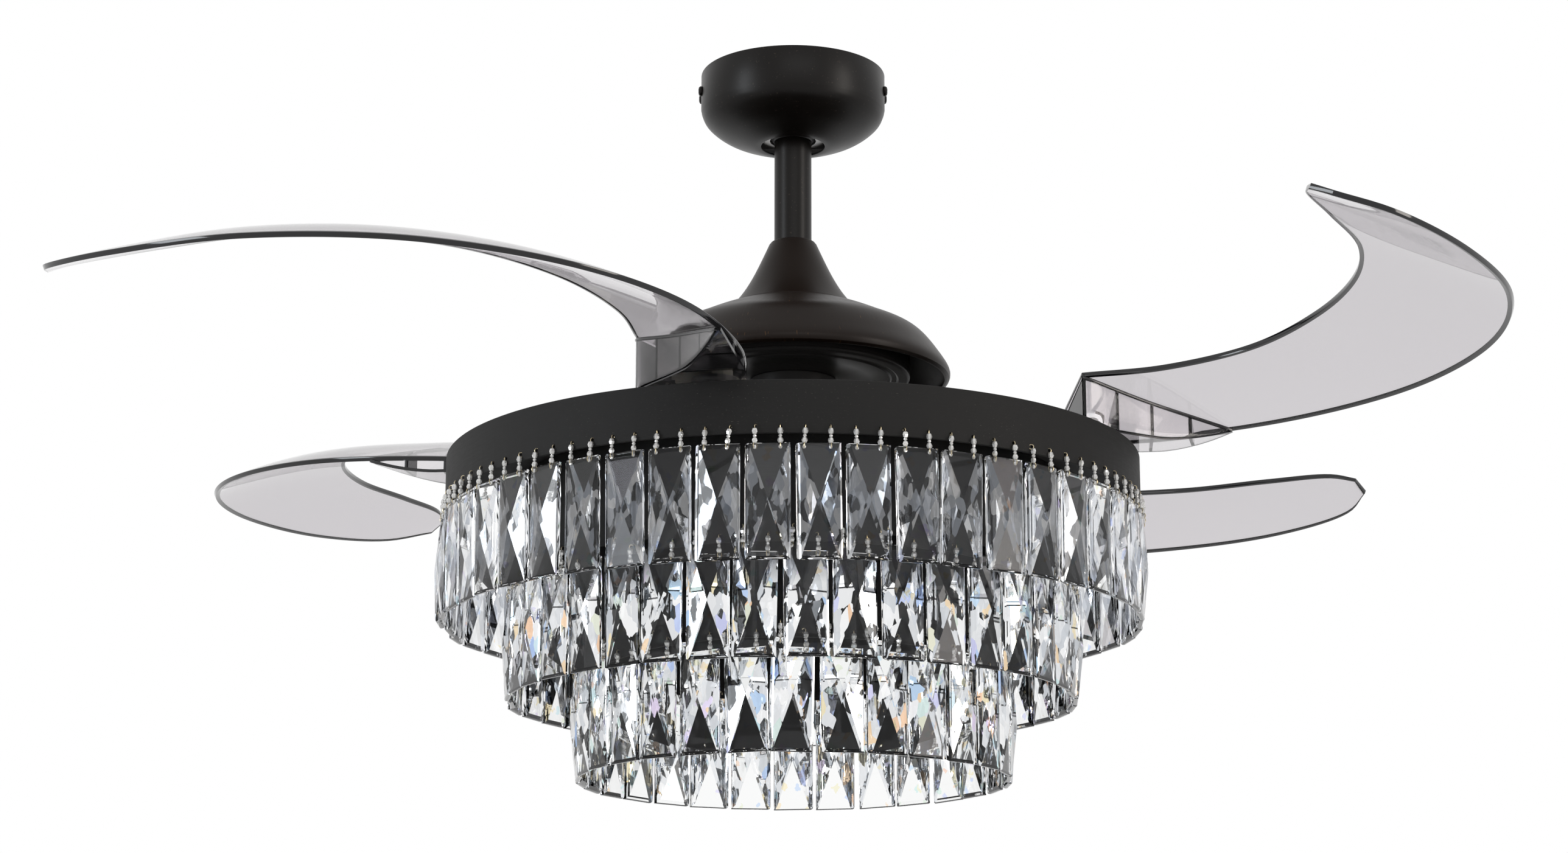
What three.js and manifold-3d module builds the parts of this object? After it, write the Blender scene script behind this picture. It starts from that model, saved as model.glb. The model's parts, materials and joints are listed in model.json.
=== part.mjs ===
// Ceiling fan with four folding blades above a light ring hung with three tiers of cut crystals.
// Millimetres, +Z up. The origin is the middle of the flat top of the ceiling bracket.
//
// The fan hangs from the bracket on a ball and a tube. A motor under the tube turns a hub, whose
// four-armed carrier holds a blade at each end. The blades swing in over the light ring when the
// fan stops, and a toothed spider keeps all four in step. The hollow shaft passes down through the
// hub and carries the light ring, which stands still.
import * as THREE from "three";
import { mergeVertices } from "three/addons/utils/BufferGeometryUtils.js";
import Module from "manifold-3d";

const wasm = await Module();
wasm.setup();

// ---- Driving dimensions ----

// Clearances
const SEAT = 0.3; // between two faces that touch on the real fan
const RUN = 0.35; // round a shaft or a rim that turns
const SLACK = 0.2; // round a screw or a pin in its hole

// Hanging set, from the ceiling down to the motor
const CANOPY_R = 71.5;
const CANOPY_WALL_H = 29;
const CANOPY_H = 57.5;
const CANOPY_T = 1.5;
const BRACKET_T = 2.5;
const BRACKET_W = 36;
const ROD_R = 14.35;
const ROD_WALL = 2;
const BALL_R = ROD_R + 7.65;
const CANOPY_MOUTH_R = BALL_R + 2.7;
const ROD_SHOWN = 78.5; // from the canopy's mouth to the coupling cover
const PIN_R = 3;
const SCREW_R = 2;
const SCREW_HEAD_R = 4;
const SCREW_HEAD_T = 2.6;
const SCREW_SPREAD = 9; // of a pair of canopy screws, either side of the bracket arm's middle
const SCREW_Z = -15;

// Motor, with heights measured up from the top of the light ring
const COVER_H = 53.2;
const COVER_TOP_R = ROD_R + 3.15; // its rolled neck stands proud of the tube
const COVER_FOOT_R = 48;
const COVER_T = 1.6;
const DOME_R = 120;
const DOME_TOP_Z = 125;
const DOME_RIM_Z = 66.5;
const DOME_T = 2;
const DOME_FALL = 1; // from the dome's top to where the coupling cover's foot stands on it
const ROTOR_R = DOME_R - 30.5; // room for the dome's curve over the rotor's shoulder
const ROTOR_T = 3;
const ROTOR_BOTTOM_Z = 68;
const ROTOR_TOP_Z = 109;
const MAGNET_T = 7.2;
const AIR_GAP = 1;
const STATOR_R = ROTOR_R - ROTOR_T - SEAT - MAGNET_T - AIR_GAP;
const STATOR_SLOTS = 12;
const SHAFT_R = 8;
const SHAFT_BORE_R = 5;

// Hub and blade carrier
const COLUMN_TOP_R = 31;
const COLUMN_FOOT_R = 46;
const SPIGOT_R = 20;
const SPIGOT_BELOW_GEAR = 5; // room for the gear's retainer and the return spring
const CARRIER_T = 4;
const CARRIER_TOP_Z = 1;
const CARRIER_HUB_R = 58;
const ARM_W = 30;
const ARM_WINDOW_W = 14;

// Synchroniser: a toothed spider on the hub that meshes with a gear on each blade's pivot
const GEAR_MODULE = 3;
const SPIDER_TEETH = 132;
const PINION_TEETH = 18;
const GEAR_T = 6;
const PRESSURE_ANGLE = THREE.MathUtils.degToRad(20);
const BACKLASH = 0.6;

// Blades
const BLADES = 4;
const FOLD = THREE.MathUtils.degToRad(108);
const PIVOT_R = (GEAR_MODULE * (SPIDER_TEETH + PINION_TEETH)) / 2;
const PIVOT_AZIMUTH = THREE.MathUtils.degToRad(-14);
const PIVOT_SHAFT_R = 6;
const BUSH_WALL = 3.2;
const BOSS_R = 13;
const BOSS_TOP_Z = 22.5;
const BLADE_BASE_Z = 4;
const BLADE_T = 3.6;
const BLADE_CAMBER = 5;
const ROOT_SHARE = 0.19; // of the blade's length that the ribbed root box takes
const ROOT_LEVEL = 0.6; // of the root box's length, before its floor rises to the blade
const ROOT_WALL = 2.4;
const ROOT_WALL_REACH = 0.97; // of the blade's width, where the root box ends
const ROOT_RIBS = [0.3, 0.55, 0.78]; // where they stand, as shares of the root box's length
// Edges of the open blade, measured in plan from its pivot and in height from the light ring's top
const INNER_EDGE = [
  [-8, -54, 44],
  [51, -65, 47],
  [110, -100, 53],
  [147, -158, 61],
  [161, -226, 66],
  [153, -295, 68],
  [124, -359, 69],
  [101, -409, 68],
  [100, -430, 64],
];
const OUTER_EDGE = [
  [-26, 21, 11],
  [61, 20, 15],
  [156, -16, 21],
  [228, -88, 26],
  [263, -183, 31],
  [255, -285, 35],
  [208, -376, 39],
  [151, -431, 47],
  [112, -440, 56],
];

// Light ring and what it carries, with heights measured from the ring's top
const RING_R = 261.25;
const RING_H = 37.6;
const RING_T = 2.5;
const LAMP_PLATE_Z = -20; // its underside
const LAMP_PLATE_T = 1.6;
const LAMP_RIM_H = 12; // of the plate's turned-down rim
const BULBS = 4;
const BULB_CIRCLE_R = 42;
const BULB_R = 7.5;
const BULB_L = 36;
const SOCKET_R = 10;
const SOCKET_H = 18;
const HOLDER_R = 60;
const HOLDER_T = 2;
const CRYSTAL_TIERS = 3;
const CRYSTAL_W = 31;
const CRYSTAL_H = 80.5;
const CRYSTAL_T = 12;
const CRYSTAL_GAP = 3;
const HOOP_T = 2; // of the hoop that stands for a tier's bead strings and joins its crystals
const TIER_STEP = 50; // from one tier's radius to the next
const TIER_DROP = 57.6; // from the top of one tier to the top of the next
const TIER_TOP_Z = -44.6;
const BAND_CLEAR = 7; // from a band down to the crystals under it
const BAND_T = 1.2;
const BAND_FLANGE = 12; // turned in at the top, for the screws into the lamp plate

// ---- Derived levels ----
const COVER_FOOT_Z = DOME_TOP_Z - DOME_FALL + SEAT;
const HEAD_Z = -(CANOPY_H + ROD_SHOWN + COVER_H + COVER_FOOT_Z); // the ring's top, from the ceiling
const CARRIER_BOTTOM_Z = CARRIER_TOP_Z - CARRIER_T;
const GEAR_TOP_Z = CARRIER_BOTTOM_Z - RUN - SLACK;
const GEAR_BOTTOM_Z = GEAR_TOP_Z - GEAR_T;
const SPIGOT_BOTTOM_Z = GEAR_BOTTOM_Z - SPIGOT_BELOW_GEAR;
const BUSH_R = PIVOT_SHAFT_R + RUN + BUSH_WALL;

// ---- Materials ----
function finish(color, roughness, metalness, extra = {}) {
  return new THREE.MeshStandardMaterial({ color, roughness, metalness, ...extra });
}
const satinBlack = finish(0x1b1817, 0.45, 0.6);
const bronze = finish(0x241915, 0.35, 0.7);
const charcoal = finish(0x252423, 0.75, 0.3);
const steel = finish(0xa8a9ab, 0.35, 0.9);
const laminations = finish(0x5d5f62, 0.5, 0.8);
const copper = finish(0xa9572c, 0.4, 0.8);
const magnet = finish(0x33302e, 0.7, 0.2);
const nylon = finish(0xd8d2c4, 0.6, 0);
const blackNylon = finish(0x2a2829, 0.5, 0);
const smoke = finish(0x6f6c70, 0.15, 0, { transparent: true, opacity: 0.5 });
const crystal = finish(0xf4f6f8, 0.05, 0, { transparent: true, opacity: 0.4 });

// ---- Solids ----

// A closed three.js geometry as a solid that can be joined and cut.
function solid(geometry) {
  const bare = geometry.index ? geometry.toNonIndexed() : geometry.clone();
  for (const name of Object.keys(bare.attributes)) {
    if (name !== "position") bare.deleteAttribute(name);
  }
  const merged = mergeVertices(bare, 1e-4);
  const triVerts = [];
  for (let i = 0; i < merged.index.count; i += 3) {
    const [a, b, c] = [0, 1, 2].map((k) => merged.index.getX(i + k));
    if (a !== b && b !== c && c !== a) triVerts.push(a, b, c);
  }
  return new wasm.Manifold(
    new wasm.Mesh({
      numProp: 3,
      vertProperties: merged.attributes.position.array,
      triVerts: new Uint32Array(triVerts),
    }),
  );
}

function geometryOf(made) {
  const { vertProperties, triVerts } = made.getMesh();
  const geometry = new THREE.BufferGeometry();
  geometry.setAttribute("position", new THREE.BufferAttribute(vertProperties, 3));
  geometry.setIndex(new THREE.BufferAttribute(triVerts, 1));
  geometry.computeVertexNormals();
  return geometry;
}

function join(solids) {
  return wasm.Manifold.union(solids);
}

// A profile of [radius, height] points, up the outside and down the inside, turned about Z.
function turned(profile, segments = 40) {
  const points = [...profile, profile[0]].map(([r, z]) => new THREE.Vector2(r, z));
  return solid(new THREE.LatheGeometry(points, segments).rotateX(Math.PI / 2));
}

function ring(outerR, innerR, bottomZ, topZ, segments = 40) {
  return turned(
    [
      [outerR, bottomZ],
      [outerR, topZ],
      [innerR, topZ],
      [innerR, bottomZ],
    ],
    segments,
  );
}

function rod(r, bottomZ, topZ, segments = 20) {
  const h = topZ - bottomZ;
  return solid(
    new THREE.CylinderGeometry(r, r, h, segments)
      .rotateX(Math.PI / 2)
      .translate(0, 0, bottomZ + h / 2),
  );
}

function rodAlongX(r, fromX, toX, y, z, segments = 10) {
  const h = toX - fromX;
  return solid(
    new THREE.CylinderGeometry(r, r, h, segments)
      .rotateZ(-Math.PI / 2)
      .translate(fromX + h / 2, y, z),
  );
}

function block(low, high) {
  const size = high.map((v, i) => v - low[i]);
  const middle = low.map((v, i) => v + size[i] / 2);
  return solid(new THREE.BoxGeometry(...size).translate(...middle));
}

function plate(shape, bottomZ, topZ, curveSegments = 6) {
  return solid(
    new THREE.ExtrudeGeometry(shape, {
      depth: topZ - bottomZ,
      bevelEnabled: false,
      curveSegments,
    }).translate(0, 0, bottomZ),
  );
}

function polar(r, angle) {
  return [r * Math.cos(angle), r * Math.sin(angle)];
}

function turnedAboutZ(made, angle) {
  return made.rotate([0, 0, THREE.MathUtils.radToDeg(angle)]);
}

// Closed skin over a grid of columns, each a loop of four corners, with both ends capped.
function beam(sections) {
  const corners = sections[0].length;
  const position = sections.flat().flatMap((p) => p.toArray());
  const index = [];
  const at = (i, k) => i * corners + (k % corners);
  for (let i = 0; i + 1 < sections.length; i++) {
    for (let k = 0; k < corners; k++) {
      index.push(at(i, k), at(i, k + 1), at(i + 1, k + 1));
      index.push(at(i, k), at(i + 1, k + 1), at(i + 1, k));
    }
  }
  const last = sections.length - 1;
  for (let k = 1; k + 1 < corners; k++) {
    index.push(at(0, 0), at(0, k + 1), at(0, k));
    index.push(at(last, 0), at(last, k), at(last, k + 1));
  }
  const geometry = new THREE.BufferGeometry();
  geometry.setAttribute("position", new THREE.Float32BufferAttribute(position, 3));
  geometry.setIndex(index);
  return solid(geometry);
}

// ---- Scene graph ----
const fan = new THREE.Group();
const ceilingSet = new THREE.Group();
const head = new THREE.Group();
head.position.z = HEAD_Z;
fan.add(ceilingSet, head);

function add(group, name, made, material) {
  const mesh = new THREE.Mesh(geometryOf(made), material);
  mesh.name = name;
  group.add(mesh);
  return mesh;
}

// ---- Ceiling bracket: a pressed steel stirrup, screwed to the ceiling box ----
const ARM_T = 2.5;
const ARM_TO_CANOPY = 4.5;
const ARM_OUTER_X = CANOPY_R - CANOPY_T - ARM_TO_CANOPY;
const ARM_BELOW_SCREWS = 9;
const BALL_RISE = 20; // from the canopy's mouth to the middle of the ball
const BALL_Z = BALL_RISE - CANOPY_H;
const CRADLE_R = BALL_R - 4;
const CRADLE_TOP_Z = BALL_Z - Math.sqrt(BALL_R ** 2 - CRADLE_R ** 2) - SEAT;
const CRADLE_ARM_X = BALL_R + 5.5;
const CEILING_SLOT_X = ARM_OUTER_X - 15.5;
const CEILING_SLOT_R = 2.6;
const CEILING_SLOT_HALF = 9; // from the slot's middle to the middle of its round end
const BEYOND = 5; // how far a cutter runs past the faces that it cuts
function bracket() {
  const half = BRACKET_W / 2;
  const armFootZ = SCREW_Z - ARM_BELOW_SCREWS;
  const parts = [
    block([-ARM_OUTER_X, -half, -BRACKET_T], [ARM_OUTER_X, half, 0]),
    block([-CRADLE_ARM_X, -half, CRADLE_TOP_Z - ARM_T], [CRADLE_ARM_X, half, CRADLE_TOP_Z]),
  ];
  for (const side of [-1, 1]) {
    const outer = [side * ARM_OUTER_X, side * (ARM_OUTER_X - ARM_T)].sort((a, b) => a - b);
    const inner = [side * CRADLE_ARM_X, side * (CRADLE_ARM_X - ARM_T)].sort((a, b) => a - b);
    parts.push(block([outer[0], -half, armFootZ], [outer[1], half, -BRACKET_T / 2]));
    parts.push(block([inner[0], -half, CRADLE_TOP_Z - ARM_T], [inner[1], half, -BRACKET_T / 2]));
  }
  const slot = new THREE.Shape();
  slot.absarc(CEILING_SLOT_HALF, 0, CEILING_SLOT_R, -Math.PI / 2, Math.PI / 2);
  slot.absarc(-CEILING_SLOT_HALF, 0, CEILING_SLOT_R, Math.PI / 2, (3 * Math.PI) / 2);
  const cradleBore = rod(CRADLE_R, CRADLE_TOP_Z - ARM_T - BEYOND, CRADLE_TOP_Z + BEYOND);
  const cuts = [cradleBore, ...screwHoles()];
  for (const x of [-CEILING_SLOT_X, CEILING_SLOT_X]) {
    cuts.push(plate(slot, -BRACKET_T - BEYOND, BEYOND, 3).translate([x, 0, 0]));
  }
  return join(parts).subtract(join(cuts));
}
function screwHoles() {
  const reach = CANOPY_R + BEYOND;
  return [-SCREW_SPREAD, SCREW_SPREAD].map((y) =>
    rodAlongX(SCREW_R + SLACK, -reach, reach, y, SCREW_Z, 8),
  );
}
add(ceilingSet, "ceiling_bracket", bracket(), steel);

// ---- Canopy: a spun bowl that hides the bracket, held by two pairs of screws ----
function canopy() {
  // Shares of the way in to the mouth, and of the way down from the straight wall
  const bowl = new THREE.CatmullRomCurve3(
    [
      [0, 0],
      [0.064, 0.253],
      [0.18, 0.456],
      [0.363, 0.663],
      [0.62, 0.842],
      [0.893, 0.986],
      [1, 1],
    ].map(([inward, down]) => {
      const r = THREE.MathUtils.lerp(CANOPY_R, CANOPY_MOUTH_R, inward);
      return new THREE.Vector3(r, 0, THREE.MathUtils.lerp(-CANOPY_WALL_H, -CANOPY_H, down));
    }),
  ).getPoints(5);
  const outside = bowl.map((p) => [p.x, p.z]).reverse();
  const inside = bowl.map((p, i) => {
    const near = bowl[Math.max(i - 1, 0)];
    const next = bowl[Math.min(i + 1, bowl.length - 1)];
    const along = new THREE.Vector3().subVectors(next, near).normalize();
    return [p.x + along.z * CANOPY_T, p.z - along.x * CANOPY_T];
  });
  const rimZ = -SEAT;
  const bell = turned([...outside, [CANOPY_R, rimZ], [CANOPY_R - CANOPY_T, rimZ], ...inside], 28);
  return bell.subtract(join(screwHoles()));
}
add(ceilingSet, "canopy", canopy(), satinBlack);

// ---- Canopy screws: pan heads outside, shanks in the bracket's arms ----
function canopyScrew(side, y) {
  const wallX = CANOPY_R + 0.1;
  const panHead = rodAlongX(SCREW_HEAD_R, wallX, wallX + SCREW_HEAD_T, y, SCREW_Z, 8);
  const shank = rodAlongX(SCREW_R, ARM_OUTER_X - ARM_T - 2, wallX + 1, y, SCREW_Z, 6);
  const made = join([panHead, shank]);
  return side > 0 ? made : turnedAboutZ(made, Math.PI);
}
[
  [1, -SCREW_SPREAD],
  [1, SCREW_SPREAD],
  [-1, -SCREW_SPREAD],
  [-1, SCREW_SPREAD],
].forEach(([side, y], i) => {
  add(ceilingSet, `canopy_screw_${i + 1}`, canopyScrew(side, y), satinBlack);
});

// ---- Hanger ball: a moulded ball in the bracket's cradle, pinned to the tube ----
const BALL_TOP_Z = BALL_Z + 13.6;
const BALL_PIN_Z = BALL_Z + 4;
const ROD_BORE = ROD_R + SLACK;
function hangerBall() {
  const steps = 5;
  const lowest = -Math.acos(ROD_BORE / BALL_R);
  const highest = Math.asin((BALL_TOP_Z - BALL_Z) / BALL_R);
  const outside = [];
  for (let i = 0; i <= steps; i++) {
    const a = lowest + ((highest - lowest) * i) / steps;
    outside.push([BALL_R * Math.cos(a), BALL_Z + BALL_R * Math.sin(a)]);
  }
  outside[0][0] = ROD_BORE + 0.6;
  const made = turned(
    [...outside, [ROD_BORE, BALL_TOP_Z], [ROD_BORE, outside[0][1]]],
    20,
  );
  return made.subtract(pinHole(BALL_PIN_Z));
}
function pinHole(z) {
  return rodAlongX(PIN_R + SLACK, -BALL_R - BEYOND, BALL_R + BEYOND, 0, z);
}
add(ceilingSet, "hanger_ball", hangerBall(), blackNylon);
add(
  ceilingSet,
  "ball_pin",
  rodAlongX(PIN_R, -BALL_R + 2, BALL_R - 2, 0, BALL_PIN_Z),
  steel,
);

// ---- Downrod: a drawn tube that carries the fan and its cables ----
const ROD_TOP_Z = BALL_TOP_Z + 8;
const ROD_HIDDEN = 38; // inside the coupling cover
const ROD_BOTTOM_Z = -(CANOPY_H + ROD_SHOWN + ROD_HIDDEN);
const YOKE_PIN_Z = ROD_BOTTOM_Z + 12;
function downrod() {
  const tube = ring(ROD_R, ROD_R - ROD_WALL, ROD_BOTTOM_Z, ROD_TOP_Z, 20);
  return tube.subtract(join([BALL_PIN_Z, YOKE_PIN_Z].map(pinHole)));
}
add(ceilingSet, "downrod", downrod(), satinBlack);

// ---- Coupling cover: a flared cup that hides the joint of tube and motor ----
function couplingCover() {
  const steps = 5;
  const outside = [];
  for (let i = 0; i <= steps; i++) {
    const t = i / steps;
    const flare = 0.78 * (1 - t) + 0.22 * (1 - t) ** 4;
    outside.push([COVER_TOP_R + (COVER_FOOT_R - COVER_TOP_R) * flare, COVER_FOOT_Z + COVER_H * t]);
  }
  const inside = outside.map(([r, z]) => [r - COVER_T, z]).reverse();
  return turned([...outside, ...inside], 24);
}
add(head, "coupling_cover", couplingCover(), bronze);

// ---- Yoke: a socket pinned to the tube, with a flange on the dome and the shaft's seat ----
const YOKE_R = ROD_R + 3.4;
const YOKE_FLANGE_R = 30;
const YOKE_SOCKET_H = 22;
const YOKE_FLANGE_Z = DOME_TOP_Z + SEAT;
const ROD_SEAT_Z = ROD_BOTTOM_Z - HEAD_Z;
function yoke() {
  const socketTop = ROD_SEAT_Z + YOKE_SOCKET_H;
  const made = turned(
    [
      [YOKE_FLANGE_R, YOKE_FLANGE_Z],
      [YOKE_FLANGE_R, YOKE_FLANGE_Z + 3],
      [YOKE_R, YOKE_FLANGE_Z + 6],
      [YOKE_R, socketTop],
      [ROD_BORE, socketTop],
      [ROD_BORE, ROD_SEAT_Z - SEAT],
      [SHAFT_R + SLACK, ROD_SEAT_Z - SEAT],
      [SHAFT_R + SLACK, YOKE_FLANGE_Z],
    ],
    20,
  );
  return made.subtract(pinHole(YOKE_PIN_Z - HEAD_Z));
}
add(head, "yoke", yoke(), steel);
add(
  head,
  "yoke_pin",
  rodAlongX(PIN_R, -YOKE_R - 1, YOKE_R + 1, 0, YOKE_PIN_Z - HEAD_Z),
  steel,
);

// ---- Motor dome: a spun shell, fixed under the yoke, that stands still over the rotor ----
function dome() {
  const collarR = SHAFT_R + 8;
  // Shares of the way out from the cover's foot to the rim, and of the way down to it
  const flank = [
    [0.167, 0.064],
    [0.442, 0.217],
    [0.706, 0.391],
    [0.904, 0.687],
    [1, 0.901],
    [0.986, 0.974],
    [0.942, 1],
  ].map(([outward, down]) => [
    THREE.MathUtils.lerp(COVER_FOOT_R, DOME_R, outward),
    THREE.MathUtils.lerp(DOME_TOP_Z - DOME_FALL, DOME_RIM_Z, down),
  ]);
  const outer = [[collarR + 8, DOME_TOP_Z], [COVER_FOOT_R, DOME_TOP_Z - DOME_FALL], ...flank];
  const curve = new THREE.CatmullRomCurve3(outer.map(([r, z]) => new THREE.Vector3(r, 0, z)));
  const skin = curve.getPoints(6);
  const outside = skin.map((p) => [p.x, p.z]).reverse();
  const inside = skin.map((p, i) => {
    const near = skin[Math.max(i - 1, 0)];
    const next = skin[Math.min(i + 1, skin.length - 1)];
    const along = new THREE.Vector3().subVectors(next, near).normalize();
    return [p.x + along.z * DOME_T, p.z - along.x * DOME_T];
  });
  inside[0] = [collarR, DOME_TOP_Z - DOME_T];
  return turned([...outside, [collarR, DOME_TOP_Z], ...inside], 28);
}
add(head, "motor_dome", dome(), bronze);

// ---- Main shaft: hollow and still; it carries the stator above and the light ring below ----
const SHAFT_TOP_Z = ROD_SEAT_Z + 8;
const NUT_T = 6;
const SHAFT_BOTTOM_Z = LAMP_PLATE_Z - NUT_T - 3;
add(
  head,
  "main_shaft",
  ring(SHAFT_R, SHAFT_BORE_R, SHAFT_BOTTOM_Z, SHAFT_TOP_Z, 16),
  steel,
);

// ---- Stator: slotted laminations on the shaft, with a winding above and below ----
const STATOR_BOTTOM_Z = ROTOR_BOTTOM_Z + 12;
const STATOR_TOP_Z = ROTOR_TOP_Z - 13;
const SLOT_FLOOR_R = STATOR_R - 26;
function stator() {
  const shape = new THREE.Shape();
  const pitch = (2 * Math.PI) / STATOR_SLOTS;
  const slotHalf = pitch * 0.14;
  for (let i = 0; i < STATOR_SLOTS; i++) {
    const a = i * pitch;
    const steps = [
      [STATOR_R, a + slotHalf],
      [STATOR_R, a + pitch / 2],
      [STATOR_R, a + pitch - slotHalf],
      [SLOT_FLOOR_R, a + pitch - slotHalf],
      [SLOT_FLOOR_R, a + pitch + slotHalf],
    ];
    for (const [r, angle] of steps) {
      const [x, y] = polar(r, angle);
      if (i === 0 && angle === steps[0][1] && r === STATOR_R) shape.moveTo(x, y);
      else shape.lineTo(x, y);
    }
  }
  const bore = rod(SHAFT_R + SLACK, STATOR_BOTTOM_Z - 1, STATOR_TOP_Z + 1, 16);
  return plate(shape, STATOR_BOTTOM_Z, STATOR_TOP_Z).subtract(bore);
}
add(head, "stator", stator(), laminations);
const WINDING_H = 5;
function winding(bottomZ) {
  const outer = STATOR_R - 8;
  const inner = SLOT_FLOOR_R - 8;
  const soft = 2;
  const topZ = bottomZ + WINDING_H;
  return turned(
    [
      [outer - soft, bottomZ],
      [outer, bottomZ + soft],
      [outer - soft, topZ],
      [inner + soft, topZ],
      [inner, bottomZ + soft],
      [inner + soft, bottomZ],
    ],
    20,
  );
}
add(head, "upper_winding", winding(STATOR_TOP_Z + SEAT), copper);
add(head, "lower_winding", winding(STATOR_BOTTOM_Z - SEAT - WINDING_H), copper);

// ---- Rotor: a cup over the stator, lined with a magnet ring and closed by a plate ----
const MAGNET_INNER_R = STATOR_R + AIR_GAP;
const CUP_INNER_R = ROTOR_R - ROTOR_T;
const BEARING_R = 16;
const BEARING_H = 9;
function rotorCup() {
  const shoulderR = ROTOR_R - 14;
  const housing = BEARING_R + 4;
  const bearingSeat = BEARING_R + SLACK;
  return turned(
    [
      [ROTOR_R, ROTOR_BOTTOM_Z + ROTOR_T + SEAT],
      [ROTOR_R, ROTOR_TOP_Z - 9],
      [shoulderR, ROTOR_TOP_Z],
      [SHAFT_R + 4, ROTOR_TOP_Z + 4],
      [SHAFT_R + 4, ROTOR_TOP_Z + 2],
      [bearingSeat, ROTOR_TOP_Z + 2],
      [bearingSeat, ROTOR_TOP_Z - 7],
      [housing, ROTOR_TOP_Z - 7],
      [housing, ROTOR_TOP_Z - ROTOR_T],
      [shoulderR - 1, ROTOR_TOP_Z - ROTOR_T],
      [CUP_INNER_R, ROTOR_TOP_Z - 10],
      [CUP_INNER_R, ROTOR_BOTTOM_Z + ROTOR_T + SEAT],
    ],
    28,
  );
}
add(head, "rotor_cup", rotorCup(), satinBlack);
add(
  head,
  "magnet_ring",
  ring(CUP_INNER_R - SEAT, MAGNET_INNER_R, STATOR_BOTTOM_Z - 2, STATOR_TOP_Z + 2, 28),
  magnet,
);
add(
  head,
  "upper_bearing",
  ring(BEARING_R, SHAFT_R + RUN, ROTOR_TOP_Z + 2 - SEAT - BEARING_H + 1, ROTOR_TOP_Z + 2 - SEAT, 16),
  steel,
);
const PLATE_MOUTH_R = COLUMN_TOP_R + 2;
function rotorPlate() {
  return turned(
    [
      [ROTOR_R, ROTOR_BOTTOM_Z + 1],
      [ROTOR_R, ROTOR_BOTTOM_Z + ROTOR_T],
      [CUP_INNER_R - SEAT, ROTOR_BOTTOM_Z + ROTOR_T],
      [CUP_INNER_R - SEAT, ROTOR_BOTTOM_Z + ROTOR_T + 3],
      [CUP_INNER_R - 4, ROTOR_BOTTOM_Z + ROTOR_T + 3],
      [CUP_INNER_R - 5, ROTOR_BOTTOM_Z + ROTOR_T],
      [PLATE_MOUTH_R - 8, ROTOR_BOTTOM_Z + ROTOR_T],
      [PLATE_MOUTH_R - 8, ROTOR_BOTTOM_Z],
      [ROTOR_R - 3, ROTOR_BOTTOM_Z],
    ],
    28,
  );
}
add(head, "rotor_plate", rotorPlate(), satinBlack);

// ---- Hub column: carries the blade carrier under the rotor, and holds the lower bearing ----
function hubColumn() {
  const boreR = SHAFT_R + 6;
  const topZ = ROTOR_BOTTOM_Z - SEAT;
  const footZ = CARRIER_TOP_Z + SEAT;
  return turned(
    [
      [SPIGOT_R, SPIGOT_BOTTOM_Z],
      [SPIGOT_R, footZ],
      [COLUMN_FOOT_R, footZ],
      [COLUMN_FOOT_R, footZ + 5],
      [COLUMN_TOP_R + 6, footZ + 14],
      [COLUMN_TOP_R + 1, topZ - 20],
      [COLUMN_TOP_R + 2, topZ],
      [boreR, topZ],
      [boreR, SPIGOT_BOTTOM_Z + BEARING_H + 1],
      [BEARING_R + SLACK, SPIGOT_BOTTOM_Z + BEARING_H + 1],
      [BEARING_R + SLACK, SPIGOT_BOTTOM_Z],
    ],
    24,
  );
}
add(head, "hub_column", hubColumn(), satinBlack);
add(
  head,
  "lower_bearing",
  ring(BEARING_R, SHAFT_R + RUN, SPIGOT_BOTTOM_Z + 0.5, SPIGOT_BOTTOM_Z + 0.5 + BEARING_H, 16),
  steel,
);

// ---- Blade carrier: a pressed disc with four arms, each with a bush for a blade's pivot ----
function bladeAngles() {
  return Array.from({ length: BLADES }, (_, i) => PIVOT_AZIMUTH - (i * 2 * Math.PI) / BLADES);
}
function carrier() {
  const padR = ARM_W / 2 + 1;
  const parts = [rod(CARRIER_HUB_R, CARRIER_BOTTOM_Z, CARRIER_TOP_Z, 28)];
  const cuts = [rod(SPIGOT_R + 2 * SLACK, CARRIER_BOTTOM_Z - 1, CARRIER_TOP_Z + 1, 24)];
  for (const angle of bladeAngles()) {
    const low = [0, -ARM_W / 2, CARRIER_BOTTOM_Z];
    const arm = block(low, [PIVOT_R, ARM_W / 2, CARRIER_TOP_Z]);
    const pad = rod(padR, CARRIER_BOTTOM_Z, CARRIER_TOP_Z, 16).translate([PIVOT_R, 0, 0]);
    const windowCut = block(
      [CARRIER_HUB_R + 42, -ARM_WINDOW_W / 2, CARRIER_BOTTOM_Z - 1],
      [PIVOT_R - 35, ARM_WINDOW_W / 2, CARRIER_TOP_Z + 1],
    );
    const hole = rod(BUSH_R + SEAT, CARRIER_BOTTOM_Z - 1, CARRIER_TOP_Z + 1, 16);
    parts.push(turnedAboutZ(arm, angle), turnedAboutZ(pad, angle));
    cuts.push(turnedAboutZ(windowCut, angle));
    cuts.push(turnedAboutZ(hole.translate([PIVOT_R, 0, 0]), angle));
  }
  return join(parts).subtract(join(cuts));
}
add(head, "blade_carrier", carrier(), steel);
const RETAINER_T = 1.5;
add(
  head,
  "gear_retainer",
  ring(SPIGOT_R + 5, SPIGOT_R + RUN, GEAR_BOTTOM_Z - SEAT - RETAINER_T, GEAR_BOTTOM_Z - SEAT, 20),
  steel,
);

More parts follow.
